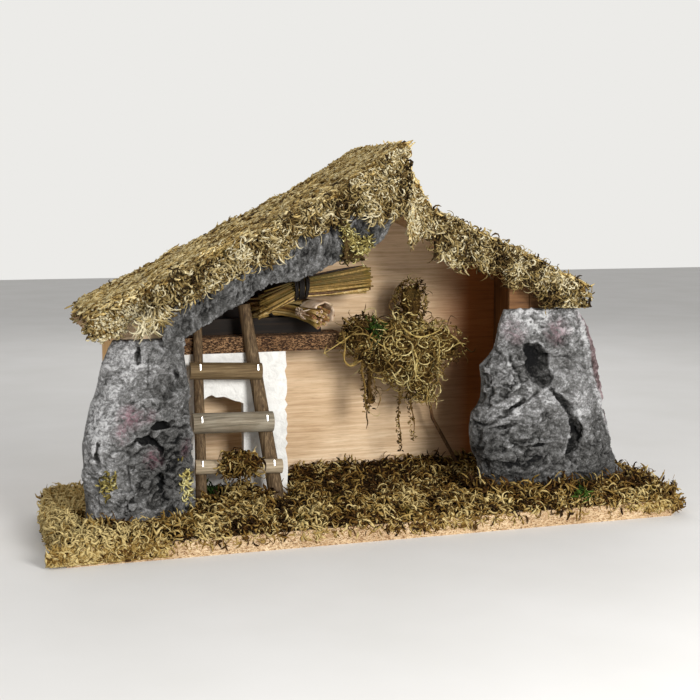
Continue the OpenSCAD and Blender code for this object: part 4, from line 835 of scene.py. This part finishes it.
def grow(place, normal, sweep, spread, length, steps, curl, lift, cling, droop, level, rng):
    """Strand paths that wander over a skin: sweep is their common direction, lift how much they
    stand up, cling how hard they are drawn back to the skin, droop how much they sink, level how much
    their curls lie in the skin"""
    count = len(place)
    heading = np.asarray(sweep) + rng.normal(0, spread, (count, 3))
    heading -= normal * (heading * normal).sum(1, keepdims=True)
    heading /= np.linalg.norm(heading, axis=1, keepdims=True) + 1e-12
    heading = heading + normal * (lift * rng.random((count, 1)))
    axis = rng.normal(0, 1, (count, 3)) + normal * rng.choice([-level, level], (count, 1))
    axis /= np.linalg.norm(axis, axis=1, keepdims=True)
    bend = curl * rng.uniform(0.3, 1.0, (count, 1))
    step = (length / (steps - 1))[:, None]
    at = place.copy()
    path = [at]
    for _ in range(steps - 1):
        heading = heading / (np.linalg.norm(heading, axis=1, keepdims=True) + 1e-12)
        at = at + heading * step
        path.append(at)
        rise = ((at - place) * normal).sum(1, keepdims=True)
        heading = heading + np.cross(axis, heading) * bend - normal * (rise * cling)
        heading = heading + np.array([0, 0, -droop]) + rng.normal(0, 0.12, (count, 3))
    return np.stack(path, axis=1)


def patches(place, size, seed):
    """Slow random field between 0 and 1 over the places"""
    shift = Vector((seed * 3.1, seed * 1.7, seed * 2.3))
    return np.array([noise.noise(Vector(p) / size + shift) for p in place]) * 0.5 + 0.5


# Room that the strands keep to, half the width and depth and the height
room = (0.3215, 0.1082, 0.381)


def facing(count, out=(0, -1.0, 0)):
    """One direction for a number of places"""
    return np.tile(np.array(out, float), (count, 1))


def strands(name, place, normal, colours, sweep=(0, 0, 0), spread=1.0, length=(0.006, 0.014), steps=6, curl=0.7,
            lift=0.6, cling=120.0, droop=0.0, level=1.5, sunk=0.0008, thick=0.0005, tone=(0.35, 0.3), patch=0.03,
            varied=1.3, seed=1, shade=None, lowest=0.0, far=room[0], ceiling=None):
    """Strands grown from the given places, as a piece that rides with the crib; they stay above lowest, left
    of far and under ceiling, a height by x"""
    rng = np.random.default_rng(seed + 500)
    count = len(place)
    paths = grow(place - normal * sunk, normal, sweep, spread, rng.uniform(length[0], length[1], count), steps,
                 curl, lift, cling, droop, level, rng)
    low, high = (-room[0], -room[1], max(lowest, thick * 2.4 + 0.0002)), (far, room[1], room[2])
    paths = np.clip(paths, low, high)
    if ceiling:
        paths[:, :, 2] = np.minimum(paths[:, :, 2], ceiling(paths[:, :, 0]))
    tones = tone[0] + tone[1] * rng.normal(0, 0.8, count) + (patches(place, patch, seed) - 0.5) * varied
    if shade:
        tones = tones + shade(place)
    made = tubes(name, paths, thick * rng.uniform(0.55, 1.3, count), np.clip(tones, 0, 1), 3,
                 [0.6, 1.15, 1.05, 0.9, 0.3], 0.0, 0.55, seed)
    made.data.materials.append(colours)
    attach(made, "root")
    return made


def moss(node, name, count, colours, wanted=None, seed=1, **look):
    """Mat of strands grown on a node's skin"""
    place, normal = scatter(node, count, np.random.default_rng(seed), wanted)
    return strands(name, place, normal, colours, seed=seed, **look)


def top_side(middle, normal):
    return np.where(normal[:, 2] > 0.3, 1.0, 0.02)


def front_side(middle, normal):
    return np.where((normal[:, 1] < -0.4) & (normal[:, 2] > -0.9), 1.0, 0.0) + 0.001


def outside(middle, normal):
    return np.where(normal[:, 2] > -0.5, 1.0, 0.0)


# Roof moss, pressed flat on the slopes, curlier over the front edges and hanging at the eaves
def front_inner(middle, normal):
    """Front of the left slope, but for its eave"""
    return front_side(middle, normal) * np.where(middle[:, 0] > -0.214, 1.0, 0.0)


def front_eave(middle, normal):
    return front_side(middle, normal) * np.where(middle[:, 0] > -0.214, 0.0, 1.0)


def ridge_top(middle, normal):
    return np.where((normal[:, 2] > 0.3) | (normal[:, 0] > 0.5), 1.0, 0.0)


def ridge_front(middle, normal):
    return front_side(middle, normal) * np.where(middle[:, 2] < 0.345, 1.0, 0.0)


def right_front(middle, normal):
    """Front of the right slope, thinner at its end"""
    return front_side(middle, normal) * np.where(middle[:, 0] > 0.212, 0.3, 1.0)


def right_slope(x):
    """Height of the right slope's top"""
    return 0.3155 - 0.4557 * (x - 0.058)


def eave_end(middle, normal):
    return np.where(normal[:, 0] < -0.4, 1.0, 0.0)


pitch_left, pitch_right = math.radians(26.4), math.radians(24.5)
slope_left = np.array([math.cos(pitch_left), 0, math.sin(pitch_left)])
slope_right = np.array([math.cos(pitch_right), 0, -math.sin(pitch_right)])
ridge_stop = 0.0262  # strands of the left slope end here, at the ridge
for node, voxel, dark in (("roof_moss_left", 0.0032, 0.24), ("roof_moss_right", 0.0032, 0.2),
                          ("ridge_moss", 0.0028, 0.22)):
    moss_core(node, node + "_bed", roof_green, voxel, 0.0015, None, dark)
moss_core("arch_moss", "arch_moss_bed", fringe_green, 0.0015, 0.0015, lambda places: 0.0044, 0.08)
pressed = dict(spread=0.7, length=(0.005, 0.013), steps=5, curl=0.5, lift=0.08, cling=260.0, level=5.0, sunk=0.0004,
               thick=0.00105, tone=(0.6, 0.32), patch=0.014, varied=1.2)
hanging = dict(spread=0.9, length=(0.007, 0.018), steps=7, curl=1.05, lift=0.8, cling=90.0, droop=0.1, thick=0.00088,
               tone=(0.5, 0.36), patch=0.018, varied=1.6)
short = dict(hanging, length=(0.004, 0.009), droop=0.0, lift=0.5, cling=200.0)
moss("roof_moss_left", "roof_moss_left_strands", 5900, roof_green, top_side, 11, sweep=slope_left * 1.1,
     shade=lambda place: 0.12 * (place[:, 0] < -0.16), far=ridge_stop, **pressed)
moss("roof_moss_left", "roof_moss_left_fringe", 2300, fringe_green, front_inner, 12, sweep=(0.1, -0.2, -0.5),
     far=ridge_stop, **hanging)
moss("roof_moss_left", "roof_moss_left_end", 500, fringe_green, front_eave, 112, sweep=(0.1, -0.2, -0.3), **short)
moss("roof_moss_right", "roof_moss_right_strands", 3500, roof_green, top_side, 13, sweep=slope_right * 1.1,
     **pressed)
moss("roof_moss_right", "roof_moss_right_fringe", 2100, fringe_green, right_front, 14, sweep=(0.1, -0.2, -0.6),
     far=0.2275, ceiling=right_slope, **dict(hanging, tone=(0.44, 0.36)))
moss("ridge_moss", "ridge_moss_strands", 1300, roof_green, ridge_top, 15,
     **dict(pressed, sweep=(-1.3, 0, -0.7), spread=0.45, length=(0.003, 0.007), lift=0.02, tone=(0.62, 0.32)))
# A thin sheet of moss lies on the top of the left slope, where the mat thickens towards the ridge
bpy.ops.mesh.primitive_grid_add(x_subdivisions=26, y_subdivisions=76, size=1)
fillet = bpy.context.object
fillet.name = "ridge_moss_fillet"
rise = np.array([-0.53, 0, 0.85])
sheet_middle = np.array([-0.004, 0.0165, 0.3535])
sheet_wide, sheet_deep, sheet_thick = 0.064, 0.168, 0.005
for point in fillet.data.vertices:
    spot = sheet_middle + (point.co.x * sheet_wide) * np.array([0.85, 0, 0.53])
    spot[1] += point.co.y * sheet_deep
    spot -= rise * 0.007 * max(0.0, (-0.052 - spot[1]) / 0.0155) ** 2
    point.co = Vector(spot + rise * 0.0012 * noise.fractal(Vector(spot) * 240, 0.8, 2.0, 3))
made = fillet.modifiers.new("depth", "SOLIDIFY")
made.thickness = sheet_thick
made.offset = -1.0
bpy.ops.object.modifier_apply(modifier="depth")
set_values(fillet.data, "tone", [0.22 + 0.2 * noise.noise(v.co * 240) for v in fillet.data.vertices])
set_values(fillet.data, "along", np.full(len(fillet.data.vertices), 0.4))
fillet.data.materials.append(roof_green)
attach(fillet, "root")
fillet.select_set(False)
rng = np.random.default_rng(116)
part, deep = rng.uniform(-0.5, 0.5, 1400), rng.uniform(-0.084, 0.085, 1400)
place = np.stack([-0.004 + 0.0544 * part, 0.0165 + deep, 0.3535 + 0.0339 * part], axis=1)
place += rise * (0.0011 - 0.007 * np.clip((-0.0685 - deep) / 0.0155, 0, 1)[:, None] ** 2)
strands("ridge_moss_fillet_strands", place, facing(1400, rise), roof_green, seed=116, sweep=slope_left * 1.1,
        **dict(pressed, length=(0.004, 0.01), tone=(0.62, 0.32)))
part = rng.uniform(-0.5, 0.5, 460)
place = np.stack([-0.004 + 0.0544 * part, rng.uniform(-0.0695, -0.067, 460), 0.3475 + 0.0339 * part], axis=1)
place[:, 2] += rng.uniform(-0.006, 0.0035, 460)
strands("ridge_moss_fillet_front", place, facing(460, (0, -1.0, 0.2)), fringe_green, seed=117,
        sweep=(-0.2, -0.1, -0.4), **dict(short, tone=(0.64, 0.34)))
moss("ridge_moss", "ridge_moss_fringe", 620, fringe_green, ridge_front, 115, sweep=(-0.9, -0.1, -1.1),
     **dict(hanging, spread=0.35, curl=0.7, lift=0.1, cling=240.0, length=(0.006, 0.012), tone=(0.66, 0.34)))
curl_run = run([(x, -0.066, z) for x, z in (
    (-0.043, 0.311), (-0.0379, 0.2963), (-0.0318, 0.2815), (-0.0249, 0.2726), (-0.0171, 0.2751),
    (-0.0151, 0.2838))], 60)
rng = np.random.default_rng(16)
strands("arch_moss_strands", curl_run[rng.integers(0, 60, 460)] + rng.normal(0, 0.0023, (460, 3)) * (1, 0.6, 1),
        facing(460), arch_green, sweep=(0.25, 0, -0.9), spread=0.8, length=(0.004, 0.01), steps=6, curl=0.9,
        lift=0.3, cling=260.0, thick=0.0007, tone=(0.54, 0.36), patch=0.008, varied=1.6, seed=16)
moss("arch_moss", "arch_moss_curls", 220, arch_green, front_side, 118, sweep=(0.25, 0, -0.6), spread=0.9,
     length=(0.004, 0.01), steps=6, curl=1.0, lift=0.2, cling=260.0, sunk=0.002, thick=0.0007, tone=(0.4, 0.36),
     patch=0.008, varied=1.6)
eave = dict(sweep=(0, -0.2, -0.6), spread=0.9, length=(0.004, 0.009), steps=5, curl=0.8, lift=0.5, cling=200.0,
            droop=0.03, thick=0.0009, tone=(0.6, 0.3), patch=0.02, lowest=0.197)
moss("roof_board_left", "roof_eave_strands", 760, fringe_green, eave_end, 17, **eave)
moss("roof_moss_left", "roof_eave_edge", 500, fringe_green, eave_end, 18, **eave)
rng = np.random.default_rng(19)
start = np.stack([rng.uniform(-0.232, -0.208, 220), rng.uniform(-0.074, -0.068, 220), np.zeros(220)], axis=1)
start[:, 2] = 0.217 + 0.45 * (start[:, 0] + 0.22) + rng.normal(0, 0.003, 220)
strands("roof_eave_tuft", start, facing(220), fringe_green, sweep=(0.3, 0, -1.2),
        spread=0.35, length=(0.008, 0.021), steps=8, curl=0.8, lift=0.3, cling=200.0, droop=0.25, thick=0.0009,
        tone=(0.66, 0.3), patch=0.02, seed=19)
start = np.stack([rng.uniform(0.176, 0.222, 420), rng.uniform(-0.062, -0.044, 420), np.zeros(420)], axis=1)
start[:, 2] = 0.2215 - 0.2 * (start[:, 0] - 0.19) + rng.normal(0, 0.004, 420)
strands("roof_right_tuft", start, facing(420), fringe_green, sweep=(-0.25, 0, -1.2),
        spread=0.45, length=(0.005, 0.013), steps=6, curl=0.9, lift=0.3, cling=200.0, droop=0.15, thick=0.0009,
        tone=(0.36, 0.3), patch=0.015, varied=1.8, seed=20, lowest=0.2105, far=0.2235)
start = np.stack([rng.uniform(-0.277, -0.248, 220), np.full(220, -0.046), np.zeros(220)], axis=1)
start[:, 2] = 0.208 + 0.5 * (start[:, 0] + 0.262) + rng.normal(0, 0.0025, 220)
strands("roof_eave_front", start, facing(220), fringe_green, sweep=(-0.1, 0, -0.4),
        spread=0.8, length=(0.004, 0.009), steps=6, curl=0.9, lift=0.4, cling=200.0, droop=0.03, thick=0.0009,
        tone=(0.6, 0.3), patch=0.02, seed=21, lowest=0.198)


# Ground moss, thick and curly, brown at the back wall and round the rocks' feet
def ground_shade(place):
    """Paler at the left end, partly as painted light where the lamps fall weaker, and at the front edge; browner at the
    back wall
    """
    x, y = place[:, 0], place[:, 1]
    return (0.8 * np.clip((-0.225 - x) / 0.03, 0, 1) + 0.08 * (y < -0.085) - 0.12 * np.clip((y - 0.02) / 0.05, 0, 1)
            - 0.1 * np.clip((x + 0.12) / 0.1, 0, 1) * (y > -0.05))


for node in ("ground_moss_front", "ground_moss_middle", "ground_moss_inside", "ground_moss_left",
             "ground_moss_right", "ladder_foot_moss", "rung_moss"):
    moss_core(node, node + "_bed", ground_green, 0.003, 0.0018, None, 0.12)
for index, (node, count, steps) in enumerate((("ground_moss_front", 3400, 6), ("ground_moss_middle", 3000, 6),
                                              ("ground_moss_inside", 2600, 5), ("ground_moss_left", 2200, 5),
                                              ("ground_moss_right", 1900, 5), ("ladder_foot_moss", 800, 5))):
    moss(node, node + "_strands", count, ground_green, outside, 21 + index, sweep=(0, -0.2, 0),
         length=(0.006, 0.016), steps=steps, curl=1.25, lift=1.3, cling=60.0, thick=0.00088, tone=(0.46, 0.36),
         patch=0.016, varied=2.1, shade=ground_shade)
for index, (node, count) in enumerate((("ground_moss_front", 420), ("ground_moss_middle", 260),
                                       ("ground_moss_inside", 160), ("ground_moss_left", 240),
                                       ("ground_moss_right", 160))):
    moss(node, node + "_curls", count, ground_green, outside, 31 + index, sweep=(0, -0.2, 0), length=(0.014, 0.028),
         steps=9, curl=0.9, lift=1.4, cling=50.0, thick=0.00085, tone=(0.62, 0.28), patch=0.03, shade=ground_shade)
moss("rung_moss", "rung_moss_strands", 420, ground_green, None, 27, sweep=(0, -0.3, -0.6), length=(0.008, 0.02),
     steps=8, curl=0.9, lift=0.7, cling=60.0, droop=0.22, thick=0.0008, tone=(0.55, 0.34), patch=0.02)


def over_edge(name, count, seed, pick, normal, length, **look):
    """Strands that lie over an edge of the base board: pick gives places from random numbers"""
    rng = np.random.default_rng(seed)
    place = pick(rng)
    return strands(name, place, facing(len(place), normal), ground_green, sweep=(0, 0, -0.5),
                   spread=0.8, length=length, steps=5, curl=0.8, lift=0.3, cling=260.0, droop=0.12, thick=0.001,
                   patch=0.03, seed=seed, **look)


def corner_places(rng):
    """The left front corner, thinning out to the right and towards the bottom"""
    x = -0.316 + 0.1 * rng.random(1500) ** 1.3
    z = 0.016 - 0.0155 * rng.random(1500) ** (1 + 2.2 * np.clip((x + 0.29) / 0.06, 0, 1))
    return np.stack([x, np.full(1500, -0.105), z], axis=1)


def edge_places(rng):
    """Tufts here and there along the front edge"""
    middle = rng.uniform(-0.21, 0.3, 44)
    x = (middle[:, None] + rng.normal(0, 0.008, (44, 14))).ravel()
    x = np.clip(np.concatenate([x, rng.normal(0.04, 0.03, 220), rng.normal(0.285, 0.016, 260)]), -0.27, 0.305)
    return np.stack([x, np.full(len(x), -0.105), 0.0165 - 0.006 * rng.random(len(x)) ** 1.6], axis=1)


over_edge("corner_moss_strands", 1500, 51, corner_places, (0, -1, 0), (0.006, 0.014), tone=(0.66, 0.3))
over_edge("edge_moss_strands", 1200, 52, edge_places, (0, -1, 0), (0.006, 0.013), tone=(0.5, 0.34))
moss("base_board", "side_moss_strands", 1150, ground_green, eave_end, 53, sweep=(0, -0.2, -0.6), spread=0.8,
     length=(0.006, 0.014), steps=5, curl=0.8, lift=0.3, cling=260.0, droop=0.1, thick=0.00095, tone=(0.66, 0.3),
     patch=0.03)


# Tufts that rise at the feet of the rocks and the ladder, clumps caught on the left rock, two green sprigs
def foot(name, path, count, height, seed, tone):
    """Tuft of strands standing along a line on the ground"""
    rng = np.random.default_rng(seed)
    path = run(path, 40)
    place = path[rng.integers(0, 40, count)] + rng.normal(0, 0.0035, (count, 3)) * (1, 1, 0.2)
    return strands(name, place, facing(count, (0, -0.35, 0.94)), ground_green, spread=1.0,
                   length=(height * 0.6, height * 1.5), steps=7, curl=0.8, lift=2.6, cling=14.0, droop=0.03,
                   thick=0.00095, tone=tone, patch=0.02, seed=seed)


foot("foot_moss_left", [(-0.283, -0.062, 0.024), (-0.25, -0.084, 0.024), (-0.2, -0.082, 0.024), (-0.178, -0.06, 0.026)],
     560, 0.013, 61, (0.46, 0.36))
foot("foot_moss_right", [(0.104, -0.03, 0.028), (0.108, -0.074, 0.03), (0.15, -0.084, 0.028), (0.2, -0.085, 0.028),
                         (0.25, -0.084, 0.028), (0.288, -0.062, 0.028)], 850, 0.018, 62, (0.28, 0.34))
foot("foot_moss_side", [(0.284, -0.06, 0.024), (0.29, -0.03, 0.024)], 160, 0.016, 63, (0.3, 0.3))
foot("foot_moss_ladder", [(-0.172, -0.02, 0.028), (-0.16, -0.015, 0.028), (-0.1, -0.012, 0.03)], 160, 0.011, 64,
     (0.4, 0.36))
rng = np.random.default_rng(66)
bpy.context.view_layer.update()
stone = bpy.data.objects["rock_pillar_left_carved"]
place, normal = [], []
for x, z, wide, tall in ((-0.2616, 0.063, 0.003, 0.004), (-0.1925, 0.058, 0.0025, 0.008)):
    for _ in range(80):
        hit, at, out, _ = stone.ray_cast((rng.normal(x, wide), -0.2, rng.normal(z, tall)), (0, 1, 0))
        if hit:
            place.append(at)
            normal.append(out)
strands("rock_clump_strands", np.array(place), np.array(normal), arch_green, sweep=(0, 0, -0.4), length=(0.005, 0.012),
        steps=6, curl=1.1, lift=1.0, cling=80.0, thick=0.001, tone=(0.62, 0.3), patch=0.02, seed=66)
sprig_green = moss_paint("sprig_moss", [(0.0, (16, 26, 6)), (0.5, (40, 62, 16)), (1.0, (72, 96, 34))],
                         (120, 120, 90), (44, 62, 20))
for index, (x, y, z) in enumerate(((-0.154, 0.012, 0.03), (0.2, -0.097, 0.026))):
    rng = np.random.default_rng(70 + index)
    place = np.array([x, y, z]) + rng.normal(0, 0.0035, (60, 3)) * (1, 1, 0.3)
    strands("green_sprig_%d" % (index + 1), place, facing(60, (0, -0.5, 0.87)), sprig_green,
            length=(0.006, 0.016), steps=7, curl=0.5, lift=2.5, cling=10.0, thick=0.001, tone=(0.5, 0.4),
            seed=70 + index)


# Tree moss. A dark crumbly mass hung on the side twigs, with pale curly strands and a shrub, and two dark drips below
# that are painted shadow of a hanging strand
moss_core("tree_foliage", "tree_foliage_bed", tree_brown, 0.0022, 0.0034,
          lambda places: 0.0028 + 0.0045 * (places[:, 0] > 0.088) + 0.0016 * (places[:, 2] > 0.2)
          + 0.0035 * ((places[:, 0] < 0.03) & (places[:, 2] < 0.145)), 0.18)


def foliage_shade(place):
    """Dark on the left and in the shrub at the top, pale at the lower right"""
    x, z = place[:, 0], place[:, 2]
    return np.where(z > 0.2, 0.04, 0.0) + np.where((x > 0.03) & (z < 0.195), 0.14, -0.1)


def not_far_right(middle, normal):
    """Few on the thin ends at the far right and the lower left"""
    return np.where((middle[:, 0] > 0.09) | ((middle[:, 0] < 0.03) & (middle[:, 2] < 0.143)), 0.15, 1.0)


def below_shrub(middle, normal):
    return np.where(middle[:, 2] > 0.2, 0.04, not_far_right(middle, normal))


moss("tree_foliage", "tree_foliage_crumbs", 3900, tree_brown, not_far_right, 41, length=(0.002, 0.006), steps=4,
     curl=1.0, lift=1.8, cling=34.0, thick=0.00065, tone=(0.38, 0.36), patch=0.012, shade=foliage_shade)
moss("tree_foliage", "tree_foliage_strands", 900, tree_brown, below_shrub, 42, sweep=(0.1, -0.2, -0.3),
     length=(0.01, 0.03), steps=9, curl=0.75, lift=0.9, cling=40.0, droop=0.1, thick=0.0006, tone=(0.52, 0.36),
     patch=0.02, shade=foliage_shade)
long_runs = [
    [(0.0057, 0.016, 0.1812), (0.0078, 0.016, 0.1637), (0.0046, 0.016, 0.1453), (0.01, 0.016, 0.1265),
     (0.0079, 0.016, 0.1141), (0.0123, 0.016, 0.1015)],
    [(-0.0025, 0.004, 0.1878), (-0.0215, 0.004, 0.1753), (-0.0393, 0.004, 0.1648)],
    [(-0.0351, 0.004, 0.1738), (-0.0383, 0.004, 0.1658), (-0.0331, 0.004, 0.1616)],
    [(0.0836, 0.02, 0.1919), (0.097, 0.02, 0.1873), (0.1027, 0.02, 0.1787), (0.1118, 0.02, 0.1732),
     (0.1198, 0.02, 0.1644)],
    [(0.0395, 0.002, 0.1969), (0.0471, 0.002, 0.1854), (0.0613, 0.002, 0.1778), (0.0744, 0.002, 0.1804),
     (0.0854, 0.002, 0.1852)],
    [(-0.0123, 0.0, 0.1835), (0.0046, 0.0, 0.1849), (0.0196, 0.0, 0.1723), (0.0357, 0.0, 0.1646),
     (0.0282, 0.0, 0.1546)],
    [(0.0471, 0.002, 0.1864), (0.0548, 0.002, 0.1708), (0.0614, 0.002, 0.1551), (0.0572, 0.002, 0.1408),
     (0.0671, 0.002, 0.1321)],
    [(-0.0194, 0.004, 0.1883), (-0.0152, 0.004, 0.1731), (-0.0184, 0.004, 0.158), (-0.011, 0.004, 0.1496),
     (0.0017, 0.004, 0.1572)]]
pale = tubes("tree_long_strands", np.stack([run(r, 16) for r in long_runs]),
             np.array([0.0009, 0.0006, 0.0005, 0.0008, 0.0009, 0.0009, 0.001, 0.001]),
             np.array([0.4, 0.7, 0.7, 0.75, 0.75, 0.7, 0.8, 0.6]), 6, [0.9, 1, 1, 0.5], 0.0, 0.5, 4)
# Painted shadow: two dark strands right of the first long strand stand for its shadow
painted_shadow_drips = tubes("tree_drips", np.stack([run(r, 16) for r in (
    [(0.0529, 0.02, 0.1507), (0.0485, 0.022, 0.1262), (0.0497, 0.024, 0.1115), (0.0476, 0.024, 0.0926),
     (0.0521, 0.024, 0.0734), (0.0511, 0.024, 0.0565)],
    [(0.0573, 0.02, 0.1505), (0.0629, 0.022, 0.1214), (0.0608, 0.024, 0.1067), (0.0665, 0.024, 0.0895),
     (0.0655, 0.024, 0.0684)])]), np.array([0.0007, 0.0009]), np.array([0.2, 0.25]), 6, [1, 1, 0.4], 0.0, 0.4, 5)
for made in (pale, painted_shadow_drips):
    made.data.materials.append(tree_brown)
    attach(made, "root")
# Crumbs along the first long strand and, as painted shadow, along the two dark strands
rng = np.random.default_rng(44)
hung = np.concatenate([run(long_runs[0], 60), run([(0.0485, 0.022, 0.1262), (0.0497, 0.024, 0.1115),
                                                   (0.0476, 0.024, 0.0926), (0.0511, 0.024, 0.0565)], 70),
                       run([(0.0629, 0.022, 0.1214), (0.0608, 0.024, 0.1067), (0.0655, 0.024, 0.0684)], 40)])
hung = hung[rng.integers(0, len(hung), 260)] + rng.normal(0, 0.0011, (260, 3))
strands("tree_crumbs_on_strand_and_shadow", hung, facing(260), tree_brown, length=(0.0015, 0.0045), steps=5, curl=1.0,
        lift=0.6, cling=40.0, thick=0.0007, tone=(0.25, 0.25), seed=45)
rng = np.random.default_rng(46)
place = np.array([0.0151, 0.0, 0.188]) + rng.normal(0, 0.0045, (70, 3)) * (0.8, 0.5, 1.2)
strands("tree_green_sprig", place, facing(70, (0, -1.0, 0.2)), sprig_green, length=(0.004, 0.01), steps=6, curl=0.8,
        lift=1.0, cling=40.0, thick=0.0007, tone=(0.5, 0.4), seed=46)
